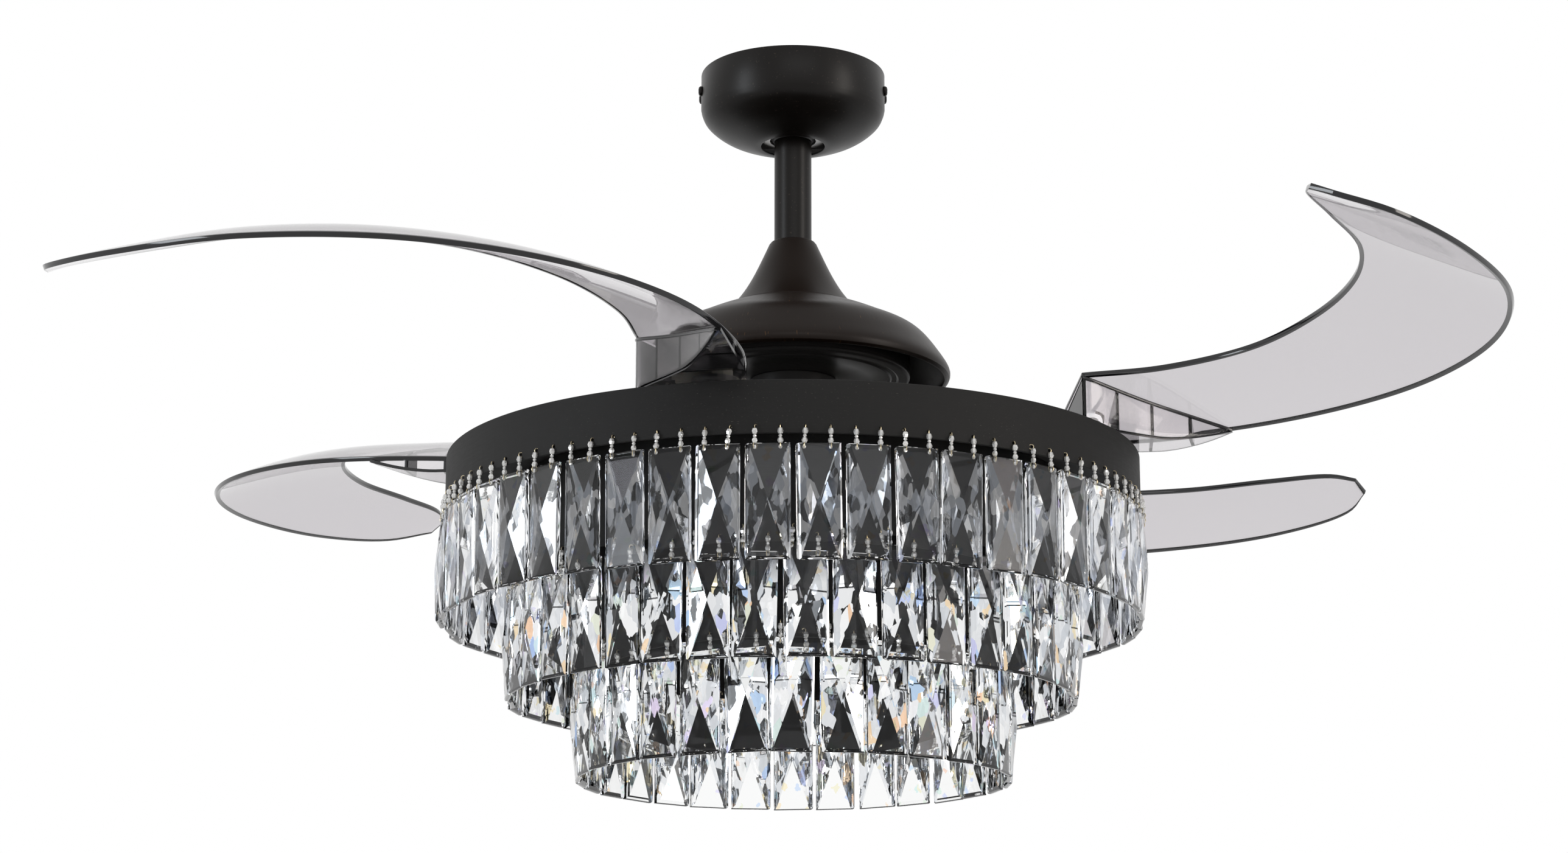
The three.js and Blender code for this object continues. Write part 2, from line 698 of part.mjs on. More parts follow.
// ---- Gear teeth: involute flanks, as an outline from one angle to another ----
function involute(angle) {
  return Math.tan(angle) - angle;
}
function toothHalfAngle(r, teeth) {
  const pitchR = (GEAR_MODULE * teeth) / 2;
  const baseR = pitchR * Math.cos(PRESSURE_ANGLE);
  const here = Math.acos(Math.min(1, baseR / r));
  const atPitch = ((Math.PI * GEAR_MODULE) / 2 - BACKLASH / 2) / (2 * pitchR);
  return atPitch + involute(PRESSURE_ANGLE) - involute(here);
}
// The tooth centred on firstAngle comes first, and the others follow it anticlockwise.
function toothedArc(teeth, firstAngle, count) {
  const pitchR = (GEAR_MODULE * teeth) / 2;
  const radii = [pitchR - 1.2 * GEAR_MODULE, pitchR + 0.9 * GEAR_MODULE];
  const points = [];
  for (let i = 0; i < count; i++) {
    const middle = firstAngle + (i * 2 * Math.PI) / teeth;
    for (const r of radii) points.push(polar(r, middle - toothHalfAngle(r, teeth)));
    for (const r of [...radii].reverse()) points.push(polar(r, middle + toothHalfAngle(r, teeth)));
  }
  return points;
}
function outline(points) {
  return new THREE.Shape(points.map(([x, y]) => new THREE.Vector2(x, y)));
}

// ---- Synchroniser spider: rides on the hub's spigot; its toothed ends mesh with the pinions ----
const SPIDER_TOOTH = (2 * Math.PI) / SPIDER_TEETH;
const SPIDER_TURN = (FOLD * PINION_TEETH) / SPIDER_TEETH;
const SPIDER_ARM_W = 14;
function spider() {
  const rimInnerR = (GEAR_MODULE * SPIDER_TEETH) / 2 - 14;
  const teethEachEnd = Math.ceil(SPIDER_TURN / SPIDER_TOOTH) + 4;
  const parts = [rod(SPIGOT_R + 14, GEAR_BOTTOM_Z, GEAR_TOP_Z, 20)];
  for (const angle of bladeAngles()) {
    // A gap faces the pinion when the blades are open, and the teeth run clockwise from there.
    const first = angle + SPIDER_TOOTH * (2.5 - teethEachEnd);
    const last = first + SPIDER_TOOTH * (teethEachEnd - 1);
    const inner = [last, (first + last) / 2, first].map((a) => polar(rimInnerR, a));
    const sector = outline([...toothedArc(SPIDER_TEETH, first, teethEachEnd), ...inner]);
    parts.push(plate(sector, GEAR_BOTTOM_Z, GEAR_TOP_Z));
    const half = SPIDER_ARM_W / 2;
    const arm = block([0, -half, GEAR_BOTTOM_Z], [rimInnerR + 6, half, GEAR_TOP_Z]);
    parts.push(turnedAboutZ(arm, (first + last) / 2));
  }
  const bore = rod(SPIGOT_R + RUN, GEAR_BOTTOM_Z - 1, GEAR_TOP_Z + 1, 24);
  return join(parts).subtract(bore);
}
add(head, "sync_spider", spider(), nylon);

// ---- Return spring: a flat spiral strip that pulls the spider back and folds the blades ----
function returnSpring() {
  const turns = 2;
  const steps = 32;
  const stripT = 1.2;
  const bottomZ = SPIGOT_BOTTOM_Z + SEAT;
  const topZ = GEAR_BOTTOM_Z - RETAINER_T - 2 * SEAT;
  const innerR = SPIGOT_R + SEAT;
  const pitch = 4.2; // so that its turns lie 3 mm clear of each other
  const sections = [];
  for (let i = 0; i <= steps; i++) {
    const a = (i / steps) * turns * 2 * Math.PI;
    const r = innerR + (pitch * a) / (2 * Math.PI);
    const [x0, y0] = polar(r, a);
    const [x1, y1] = polar(r + stripT, a);
    sections.push([
      new THREE.Vector3(x0, y0, bottomZ),
      new THREE.Vector3(x0, y0, topZ),
      new THREE.Vector3(x1, y1, topZ),
      new THREE.Vector3(x1, y1, bottomZ),
    ]);
  }
  return beam(sections);
}
add(head, "return_spring", returnSpring(), steel);

// ---- Blades: clear smoke mouldings, each on a pivot shaft that also carries its pinion ----
const innerEdge = edgeCurve(INNER_EDGE);
const outerEdge = edgeCurve(OUTER_EDGE);
function edgeCurve(points) {
  return new THREE.CatmullRomCurve3(points.map((p) => new THREE.Vector3(...p)));
}
// A point of the blade's middle surface: u runs from root to tip, v from inner to outer edge.
function bladePoint(u, v) {
  const p = new THREE.Vector3().lerpVectors(innerEdge.getPointAt(u), outerEdge.getPointAt(u), v);
  p.z += BLADE_CAMBER * 4 * v * (1 - v) * Math.sin(Math.PI * u);
  return p;
}
// The outer wall of the root box crosses the blade from its inner to its outer edge.
function rootWallV(u) {
  return ROOT_WALL_REACH * (u / ROOT_SHARE) ** 1.2;
}
function rootFloorZ(u) {
  const rise = Math.max(0, u / ROOT_SHARE - ROOT_LEVEL) / (1 - ROOT_LEVEL);
  return THREE.MathUtils.lerp(BLADE_BASE_Z, bladePoint(u, 1).z - ROOT_WALL, rise ** 1.5);
}

function bladeSkin() {
  const alongSteps = 16;
  const acrossSteps = 2;
  const sections = [];
  for (let i = 0; i <= alongSteps; i++) {
    const u = i / alongSteps;
    const under = [];
    const over = [];
    for (let k = 0; k <= acrossSteps; k++) {
      const p = bladePoint(u, k / acrossSteps);
      under.push(p.clone().setZ(p.z - BLADE_T / 2));
      over.unshift(p.clone().setZ(p.z + BLADE_T / 2));
    }
    sections.push([...under, ...over]);
  }
  return cappedStrip(sections, acrossSteps);
}
// A closed skin over sections that run under and back over the blade, with quad end caps.
function cappedStrip(sections, across) {
  const corners = sections[0].length;
  const position = sections.flat().flatMap((p) => p.toArray());
  const index = [];
  const at = (i, k) => i * corners + (k % corners);
  for (let i = 0; i + 1 < sections.length; i++) {
    for (let k = 0; k < corners; k++) {
      index.push(at(i, k), at(i, k + 1), at(i + 1, k + 1));
      index.push(at(i, k), at(i + 1, k + 1), at(i + 1, k));
    }
  }
  const last = sections.length - 1;
  for (let k = 0; k < across; k++) {
    const [a, b, c, d] = [k, k + 1, corners - 2 - k, corners - 1 - k];
    index.push(at(0, a), at(0, c), at(0, b), at(0, a), at(0, d), at(0, c));
    index.push(at(last, a), at(last, b), at(last, c), at(last, a), at(last, c), at(last, d));
  }
  const geometry = new THREE.BufferGeometry();
  geometry.setAttribute("position", new THREE.Float32BufferAttribute(position, 3));
  geometry.setIndex(index);
  return solid(geometry);
}

// An upright wall between the root's base and the blade, along a path of [u, v] points.
function rootWall(path) {
  const line = path.map(([u, v]) => bladePoint(u, v));
  const sections = line.map((p, i) => {
    const near = line[Math.max(i - 1, 0)];
    const next = line[Math.min(i + 1, line.length - 1)];
    const side = new THREE.Vector3(near.y - next.y, next.x - near.x, 0).setLength(ROOT_WALL / 2);
    const left = p.clone().add(side);
    const right = p.clone().sub(side);
    const footZ = rootFloorZ(path[i][0]) + 1;
    return [
      left.clone().setZ(footZ),
      left.clone().setZ(p.z),
      right.clone().setZ(p.z),
      right.clone().setZ(footZ),
    ];
  });
  return beam(sections);
}
function rootBox() {
  const steps = 5;
  const outerWall = [];
  const sections = [];
  for (let i = 0; i <= steps; i++) {
    const u = (ROOT_SHARE * i) / steps;
    outerWall.push([u, rootWallV(u)]);
    const inner = bladePoint(u, Math.max(rootWallV(u) - 0.01, 0));
    const outer = bladePoint(u, 1);
    const floorZ = rootFloorZ(u);
    sections.push([
      inner.clone().setZ(floorZ),
      outer.clone().setZ(floorZ),
      outer.clone().setZ(floorZ + ROOT_WALL),
      inner.clone().setZ(floorZ + ROOT_WALL),
    ]);
  }
  const parts = [beam(sections), rootWall(outerWall)];
  parts.push(rootWall([0.004, 0.004].map((u, i) => [u, 0.01 + 0.98 * i])));
  for (const share of ROOT_RIBS) {
    const u = ROOT_SHARE * share;
    parts.push(rootWall([[u, rootWallV(u)], [u, 0.995]]));
  }
  return join(parts);
}

function blade() {
  const boss = rod(BOSS_R, BLADE_BASE_Z, BOSS_TOP_Z, 16);
  const clearTop = BOSS_TOP_Z + 40; // above all that the blade has over its boss
  const bore = rod(PIVOT_SHAFT_R + SLACK, BLADE_BASE_Z - BEYOND, clearTop, 16);
  const above = rod(BOSS_R, BOSS_TOP_Z, clearTop, 16);
  return join([bladeSkin(), rootBox(), boss]).subtract(join([bore, above]));
}

const CLIP_T = 1.4;
function pivotShaft() {
  const headZ = BOSS_TOP_Z + SEAT;
  const bottomZ = GEAR_BOTTOM_Z - CLIP_T - 2;
  return turned(
    [
      [0, bottomZ],
      [PIVOT_SHAFT_R, bottomZ],
      [PIVOT_SHAFT_R, headZ],
      [PIVOT_SHAFT_R + 4, headZ],
      [PIVOT_SHAFT_R + 3.4, headZ + 2.2],
      [0, headZ + 2.2],
    ],
    12,
  );
}
function pinion() {
  const hubR = BOSS_R;
  const towardsAxis = PIVOT_AZIMUTH + Math.PI;
  const tooth = (2 * Math.PI) / PINION_TEETH;
  const count = Math.ceil(FOLD / tooth) + 3;
  const first = towardsAxis - tooth;
  const last = first + (count - 1) * tooth;
  const back = [];
  for (let i = 0; i <= 5; i++) {
    const a = last + tooth * 0.7 + ((2 * Math.PI - (last - first) - tooth * 1.4) * i) / 5;
    back.push(polar(hubR, a));
  }
  const shape = outline([...toothedArc(PINION_TEETH, first, count), ...back]);
  const bore = rod(PIVOT_SHAFT_R + SLACK, GEAR_BOTTOM_Z - 1, GEAR_TOP_Z + 1, 16);
  return plate(shape, GEAR_BOTTOM_Z, GEAR_TOP_Z).subtract(bore);
}
function pivotBush() {
  return turned(
    [
      [BUSH_R, CARRIER_BOTTOM_Z],
      [BUSH_R, CARRIER_TOP_Z + SEAT],
      [BUSH_R + 3, CARRIER_TOP_Z + SEAT],
      [BUSH_R + 3, BLADE_BASE_Z - SEAT - SLACK],
      [PIVOT_SHAFT_R + RUN, BLADE_BASE_Z - SEAT - SLACK],
      [PIVOT_SHAFT_R + RUN, CARRIER_BOTTOM_Z],
    ],
    12,
  );
}
const bladePieces = {
  blade: [blade(), smoke],
  pivot_shaft: [pivotShaft(), steel],
  pivot_clip: [
    ring(PIVOT_SHAFT_R + 3, PIVOT_SHAFT_R + SLACK, GEAR_BOTTOM_Z - SEAT - CLIP_T, GEAR_BOTTOM_Z - SEAT, 16),
    steel,
  ],
  pinion: [pinion(), nylon],
  pivot_bush: [pivotBush(), steel],
};
for (let i = 0; i < BLADES; i++) {
  const station = new THREE.Group();
  station.rotation.z = (-i * 2 * Math.PI) / BLADES;
  head.add(station);
  const place = new THREE.Group();
  place.position.set(...polar(PIVOT_R, PIVOT_AZIMUTH), 0);
  station.add(place);
  for (const [name, [made, material]] of Object.entries(bladePieces)) {
    add(place, `${name}_${i + 1}`, made, material);
  }
}

// ---- Light ring: a rolled band, screwed to the turned-down rim of the lamp plate inside it ----
add(head, "light_ring", ring(RING_R, RING_R - RING_T, -RING_H, 0, 48), charcoal);
function lampPlate() {
  const rimR = RING_R - RING_T - SEAT;
  const topZ = LAMP_PLATE_Z + LAMP_PLATE_T;
  return turned(
    [
      [rimR, LAMP_PLATE_Z - LAMP_RIM_H],
      [rimR, topZ],
      [SHAFT_R + SLACK, topZ],
      [SHAFT_R + SLACK, LAMP_PLATE_Z],
      [rimR - LAMP_PLATE_T, LAMP_PLATE_Z],
      [rimR - LAMP_PLATE_T, LAMP_PLATE_Z - LAMP_RIM_H],
    ],
    48,
  );
}
add(head, "lamp_plate", lampPlate(), charcoal);
function shaftNut() {
  const topZ = LAMP_PLATE_Z - SEAT;
  return rod(SHAFT_R + 5, topZ - NUT_T, topZ, 6).subtract(
    rod(SHAFT_R + SLACK, topZ - NUT_T - 1, topZ + 1, 16),
  );
}
add(head, "shaft_nut", shaftNut(), steel);

// ---- Lamp: a plate with four sockets under the lamp plate, each with a clear capsule bulb ----
function bulbPlaces() {
  return Array.from({ length: BULBS }, (_, i) => {
    return polar(BULB_CIRCLE_R, ((i + 0.5) * 2 * Math.PI) / BULBS);
  });
}
const HOLDER_TOP_Z = LAMP_PLATE_Z - SEAT;
const SOCKET_MOUTH_Z = HOLDER_TOP_Z - HOLDER_T - SOCKET_H;
const BULB_FOOT_R = BULB_R - 1.5;
const BULB_FOOT_H = 10;
function lampHolder() {
  const parts = [rod(HOLDER_R, HOLDER_TOP_Z - HOLDER_T, HOLDER_TOP_Z, 24)];
  const cuts = [rod(SHAFT_R + 7, HOLDER_TOP_Z - HOLDER_T - 1, HOLDER_TOP_Z + 1, 16)];
  for (const [x, y] of bulbPlaces()) {
    parts.push(rod(SOCKET_R, SOCKET_MOUTH_Z, HOLDER_TOP_Z - 1, 16).translate([x, y, 0]));
    const pocketTop = SOCKET_MOUTH_Z + BULB_FOOT_H + SEAT;
    cuts.push(rod(BULB_FOOT_R + SEAT, SOCKET_MOUTH_Z - 1, pocketTop, 12).translate([x, y, 0]));
  }
  return join(parts).subtract(join(cuts));
}
add(head, "lamp_holder", lampHolder(), satinBlack);
function bulb() {
  const neckZ = SOCKET_MOUTH_Z - SEAT;
  const tipZ = neckZ - BULB_L;
  return turned(
    [
      [0, tipZ],
      [BULB_R * 0.55, tipZ + 1.5],
      [BULB_R, tipZ + 6],
      [BULB_R, neckZ - 2],
      [BULB_FOOT_R, neckZ],
      [BULB_FOOT_R, SOCKET_MOUTH_Z + BULB_FOOT_H],
      [0, SOCKET_MOUTH_Z + BULB_FOOT_H],
    ],
    12,
  );
}
bulbPlaces().forEach(([x, y], i) => {
  const mesh = add(head, `bulb_${i + 1}`, bulb(), crystal);
  mesh.position.set(x, y, 0);
});

// ---- Tiers: a hoop of cut crystals under the light ring and under each band inside it ----
function tierRadius(tier) {
  return RING_R - RING_T / 2 - tier * TIER_STEP;
}
function tierTop(tier) {
  return TIER_TOP_Z - tier * TIER_DROP;
}
function crystalCount(tier) {
  return Math.round((2 * Math.PI * tierRadius(tier)) / (CRYSTAL_W + CRYSTAL_GAP));
}
// Flat drops, each with a raised point on its front and its back, all hanging from one hoop.
function crystalTier(tier) {
  const r = tierRadius(tier);
  const hoopBottom = tierTop(tier);
  const hoopTop = hoopBottom + BAND_CLEAR - SEAT;
  const count = crystalCount(tier);
  const middleZ = hoopBottom - CRYSTAL_H / 2;
  const [front, back] = [r + HOOP_T / 2, r - HOOP_T / 2];
  const position = [];
  const index = [];
  const quad = (a, b, c, d) => index.push(a, b, c, a, c, d);
  // Fourteen points for each crystal: six at its left end, six at its right, and the two raised ones
  const LEFT = 0;
  const RIGHT = 6;
  const POINTS = 14;
  for (let i = 0; i < count; i++) {
    const middle = new THREE.Vector2(...polar(1, ((i + 0.5) * 2 * Math.PI) / count));
    const across = new THREE.Vector2(-middle.y, middle.x);
    const put = (out, side, z) => {
      position.push(middle.x * out + across.x * side, middle.y * out + across.y * side, z);
    };
    for (const side of [-CRYSTAL_W / 2, CRYSTAL_W / 2]) {
      put(front, side, hoopTop);
      put(back, side, hoopTop);
      put(front, side, hoopBottom);
      put(back, side, hoopBottom);
      put(front, side, hoopBottom - CRYSTAL_H);
      put(back, side, hoopBottom - CRYSTAL_H);
    }
    put(r + CRYSTAL_T / 2, 0, middleZ);
    put(r - CRYSTAL_T / 2, 0, middleZ);

    const here = i * POINTS;
    const next = ((i + 1) % count) * POINTS;
    const [fl, bl, fr, br] = [here + LEFT, here + LEFT + 1, here + RIGHT, here + RIGHT + 1];
    const [fn, bn] = [next + LEFT, next + LEFT + 1];
    // The hoop over the crystal, then the hoop across the gap to the next one
    quad(fl, fl + 2, fr + 2, fr);
    quad(br, br + 2, bl + 2, bl);
    quad(fl, fr, br, bl);
    quad(fr, fr + 2, fn + 2, fn);
    quad(bn, bn + 2, br + 2, br);
    quad(fr, fn, bn, br);
    quad(fr + 2, br + 2, bn + 2, fn + 2);
    // The crystal's ends and its foot
    quad(fl + 2, bl + 2, bl + 4, fl + 4);
    quad(fr + 2, fr + 4, br + 4, br + 2);
    quad(fl + 4, bl + 4, br + 4, fr + 4);
    // Its four front and four back facets
    const frontPoint = here + POINTS - 2;
    const backPoint = here + POINTS - 1;
    const frontLoop = [fl + 2, fl + 4, fr + 4, fr + 2];
    const backLoop = [bl + 2, br + 2, br + 4, bl + 4];
    for (let k = 0; k < 4; k++) {
      index.push(frontPoint, frontLoop[k], frontLoop[(k + 1) % 4]);
      index.push(backPoint, backLoop[k], backLoop[(k + 1) % 4]);
    }
  }
  const geometry = new THREE.BufferGeometry();
  geometry.setAttribute("position", new THREE.Float32BufferAttribute(position, 3));
  geometry.setIndex(index);
  return solid(geometry);
}
// A rolled band from the lamp plate down to the crystals that hang on its foot.
function tierBand(tier) {
  const outer = tierRadius(tier) + BAND_T / 2;
  const inner = outer - BAND_T;
  const top = LAMP_PLATE_Z - SEAT;
  const bottom = tierTop(tier) + BAND_CLEAR;
  return turned(
    [
      [outer, bottom],
      [outer, top],
      [inner - BAND_FLANGE, top],
      [inner - BAND_FLANGE, top - BAND_T],
      [inner, top - BAND_T],
      [inner, bottom],
    ],
    40,
  );
}
for (let tier = 0; tier < CRYSTAL_TIERS; tier++) {
  if (tier > 0) add(head, `tier_${tier + 1}_band`, tierBand(tier), charcoal);
  add(head, `crystal_tier_${tier + 1}`, crystalTier(tier), crystal);
}

export default fan;
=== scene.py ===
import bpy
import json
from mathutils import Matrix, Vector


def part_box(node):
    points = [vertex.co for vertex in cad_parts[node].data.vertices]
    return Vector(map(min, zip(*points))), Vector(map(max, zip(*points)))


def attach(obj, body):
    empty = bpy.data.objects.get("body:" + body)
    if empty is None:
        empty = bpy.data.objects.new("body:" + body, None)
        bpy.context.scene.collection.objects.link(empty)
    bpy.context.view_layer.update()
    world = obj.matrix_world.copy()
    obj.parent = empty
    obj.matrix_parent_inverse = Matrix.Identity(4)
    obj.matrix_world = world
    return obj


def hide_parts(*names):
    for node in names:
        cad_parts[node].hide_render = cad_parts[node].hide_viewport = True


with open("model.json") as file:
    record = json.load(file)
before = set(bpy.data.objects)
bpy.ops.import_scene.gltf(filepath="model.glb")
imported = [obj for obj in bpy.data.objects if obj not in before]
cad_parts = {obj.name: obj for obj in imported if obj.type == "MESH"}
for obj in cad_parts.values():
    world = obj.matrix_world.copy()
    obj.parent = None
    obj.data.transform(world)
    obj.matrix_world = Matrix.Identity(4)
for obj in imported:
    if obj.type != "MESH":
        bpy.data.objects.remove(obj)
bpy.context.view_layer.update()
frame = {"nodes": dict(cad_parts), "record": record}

import json
import math
import random

import bmesh
import bpy
import numpy as np
from mathutils import Matrix, Vector

nodes = frame["nodes"]
MM = 0.001

# ---- Studio: a white room, a pale floor far below, and soft boxes at the sides and in front ----
# The camera stands under the fan's height and looks up at it, as in the photograph. Its lens
# and its tilt were fitted to the circles of the canopy, the dome, the ring and the tiers.
CAMERA_PLACE = (0, -2.3488, -0.8685)
CAMERA_TILT = 104.03
CAMERA_LENS = 73.12
CAMERA_SHIFT = -0.0057
FLOOR_Z = -5.4
FLOOR_GLOW = 0.5
FLOOR_SIZE = 600
FAR_AWAY = 1000
ROOM_WHITE = 1.0
ROOM_LIGHT = 0.45
BOX_AIM = (0, 0, -0.3)

bpy.ops.object.select_all(action="DESELECT")
bpy.ops.object.camera_add(location=CAMERA_PLACE, rotation=(math.radians(CAMERA_TILT), 0, 0))
camera = bpy.context.object
camera.data.lens = CAMERA_LENS
camera.data.shift_x = CAMERA_SHIFT
camera.data.clip_end = FAR_AWAY
bpy.context.scene.camera = camera
bpy.context.scene.view_settings.view_transform = "Standard"


class Value:
    """A socket of a finish. Sums, products and other maths of it add Math nodes."""

    def __init__(self, finish, socket):
        self.finish, self.socket = finish, socket

    def maths(self, operation, first, second=0.0):
        return self.finish.node("Math", {"operation": operation}, {0: first, 1: second})

    def __add__(self, other):
        return self.maths("ADD", self, other)

    def __mul__(self, other):
        return self.maths("MULTIPLY", self, other)

    def __gt__(self, other):
        return self.maths("GREATER_THAN", self, other)

    def largest(self, other):
        return self.maths("MAXIMUM", self, other)

    __radd__ = __add__
    __rmul__ = __mul__


class Finish:
    """A material in the making: node() adds what it needs, and set() fills in its shader."""

    def __init__(self, name, owner=None):
        self.material = owner or bpy.data.materials.new(name)
        self.material.use_nodes = True
        self.tree = self.material.node_tree
        self.shader = self.tree.nodes.get("Principled BSDF")

    def fill(self, made, sockets):
        for key, value in sockets.items():
            if isinstance(value, Value):
                self.tree.links.new(value.socket, made.inputs[key])
            else:
                made.inputs[key].default_value = value

    def node(self, kind, settings=None, sockets=None, output=0):
        made = self.tree.nodes.new("ShaderNode" + kind)
        for key, value in (settings or {}).items():
            if key == "stops":
                made.color_ramp.elements[0].position, made.color_ramp.elements[1].position = (
                    value[0][0], value[-1][0],
                )
                for place, _ in value[1:-1]:
                    made.color_ramp.elements.new(place)
                for stop, (_, color) in zip(made.color_ramp.elements, value):
                    stop.color = color
            else:
                setattr(made, key, value)
        self.fill(made, sockets or {})
        return Value(self, made.outputs[output])

    def set(self, **sockets):
        self.fill(self.shader, {key.replace("_", " "): value for key, value in sockets.items()})

    # Object coordinates, stretched and turned as wanted
    def place(self, scale=(1, 1, 1), turn=(0, 0, 0)):
        where = self.node("TexCoord", output="Object")
        return self.node("Mapping", sockets={"Vector": where, "Scale": scale, "Rotation": turn})

    def noise(self, scale, detail=3.0, where=None):
        sockets = {"Scale": scale, "Detail": detail, "Roughness": 0.55}
        sockets["Vector"] = where or self.place()
        return self.node("TexNoise", sockets=sockets)

    # 0 below the low value, 1 above the high one
    def ramp(self, value, low, high):
        settings = {"clamp": True}
        sockets = {"Value": value, "From Min": low, "From Max": high}
        return self.node("MapRange", settings, sockets)

    def blend(self, share, under, over):
        settings = {"data_type": "RGBA"}
        return self.node("Mix", settings, {"Factor": share, 6: under, 7: over}, output=2)

    def bump(self, height, strength, distance):
        sockets = {"Height": height, "Strength": strength, "Distance": distance}
        return self.node("Bump", sockets=sockets)

    # 1 for rays from the camera, off a shine or through clear pieces, 0 for what lights the room
    def seen(self):
        outputs = self.node("LightPath").socket.node.outputs
        rays = [Value(self, outputs[f"Is {kind} Ray"]) for kind in ("Camera", "Glossy", "Transmission")]
        return rays[0].largest(rays[1]).largest(rays[2])


world = bpy.data.worlds.new("white_room")
bpy.context.scene.world = world
room = Finish("white_room", world)
room.tree.links.new(
    (room.seen() * (ROOM_WHITE - ROOM_LIGHT) + ROOM_LIGHT).socket,
    room.tree.nodes["Background"].inputs["Strength"],
)
room.tree.nodes["Background"].inputs["Color"].default_value = (1, 1, 1, 1)

bpy.ops.mesh.primitive_plane_add(size=FLOOR_SIZE, location=(0, 0, FLOOR_Z))
floor = bpy.context.object
floor.name = "floor"
pale = Finish("pale_floor")
speck = pale.ramp(pale.noise(3.0), 0.3, 0.7)
pale.set(
    Base_Color=pale.blend(speck, (0.82, 0.82, 0.82, 1), (0.84, 0.84, 0.84, 1)),
    Roughness=0.9,
    Emission_Color=(1, 1, 1, 1),
    Emission_Strength=pale.seen() * FLOOR_GLOW,
)
floor.data.materials.append(pale.material)


def soft_box(name, place, width, height, power, tint):
    bpy.ops.object.light_add(type="AREA", location=place)
    lamp = bpy.context.object
    lamp.name = name
    lamp.data.shape = "RECTANGLE"
    lamp.data.size, lamp.data.size_y = width, height
    lamp.data.energy = power
    lamp.data.color = tint
    lamp.rotation_euler = (Vector(BOX_AIM) - Vector(place)).to_track_quat("-Z", "Y").to_euler()


soft_box("left_box", (-2.6, -1.5, -0.1), 0.7, 2.2, 40, (0.90, 0.95, 1.0))
soft_box("right_box", (2.6, -1.3, 0.0), 0.7, 2.2, 34, (1.0, 0.94, 0.88))
soft_box("front_box", (0.4, -3.2, 1.2), 2.4, 1.0, 10, (1.0, 1.0, 1.0))


# ---- Canopy: the bell that hides the bracket and the cables ----
# Spun from 1.5 mm steel sheet: a straight wall, a round shoulder and a bowl in to its mouth.
# Painted satin brown-black, and held by two screws at each side.
CANOPY_R = 71.5 * MM
CANOPY_TOP_Z = -0.3 * MM
CANOPY_WALL_Z = -29 * MM
CANOPY_MOUTH_R = 24.7 * MM
CANOPY_MOUTH_Z = -57.5 * MM
CANOPY_WALL = 1.5 * MM
SHOULDER_R = 0.35 * MM
SHOULDER_H = 1.2 * MM
ROUND_STEPS = 128
CURVE_STEPS = 60


def start_clean():
    if bpy.context.mode != "OBJECT":
        bpy.ops.object.mode_set(mode="OBJECT")
    bpy.ops.object.select_all(action="DESELECT")


def smooth_line(points, count):
    """Evenly spaced points on a smooth curve through the given ones."""
    given = np.array(points, float)
    knots = np.concatenate([[0], np.cumsum(np.linalg.norm(np.diff(given, axis=0), axis=1) ** 0.5)])
    before = np.vstack([2 * given[0] - given[1], given, 2 * given[-1] - given[-2]])
    at = np.concatenate([[2 * knots[0] - knots[1]], knots, [2 * knots[-1] - knots[-2]]])
    step = (np.diff(before, axis=0).T / np.diff(at)).T
    across = ((before[2:] - before[:-2]).T / (at[2:] - at[:-2])).T
    slopes = step[1:] - across + step[:-1]
    dense = []
    for i in range(len(given) - 1):
        gap = knots[i + 1] - knots[i]
        t = np.linspace(0, 1, CURVE_STEPS)[:, None]
        dense.append(
            (2 * t**3 - 3 * t**2 + 1) * given[i]
            + (t**3 - 2 * t**2 + t) * gap * slopes[i]
            + (3 * t**2 - 2 * t**3) * given[i + 1]
            + (t**3 - t**2) * gap * slopes[i + 1]
        )
    dense = np.vstack(dense)
    length = np.concatenate([[0], np.cumsum(np.linalg.norm(np.diff(dense, axis=0), axis=1))])
    wanted = np.linspace(0, length[-1], count)
    return np.stack([np.interp(wanted, length, dense[:, k]) for k in range(given.shape[1])], axis=1)


def edit():
    bpy.ops.object.mode_set(mode="EDIT")
    bpy.ops.mesh.select_all(action="SELECT")
    return bmesh.from_edit_mesh(bpy.context.object.data)


def use(piece, kind, **settings):
    """Adds a modifier and applies it."""
    bpy.context.view_layer.objects.active = piece
    modifier = piece.modifiers.new(kind.lower(), kind)
    for key, value in settings.items():
        setattr(modifier, key, value)
    bpy.ops.object.modifier_apply(modifier=modifier.name)


def smooth(piece, angle=30):
    start_clean()
    piece.select_set(True)
    bpy.context.view_layer.objects.active = piece
    bpy.ops.object.shade_smooth_by_angle(angle=math.radians(angle))


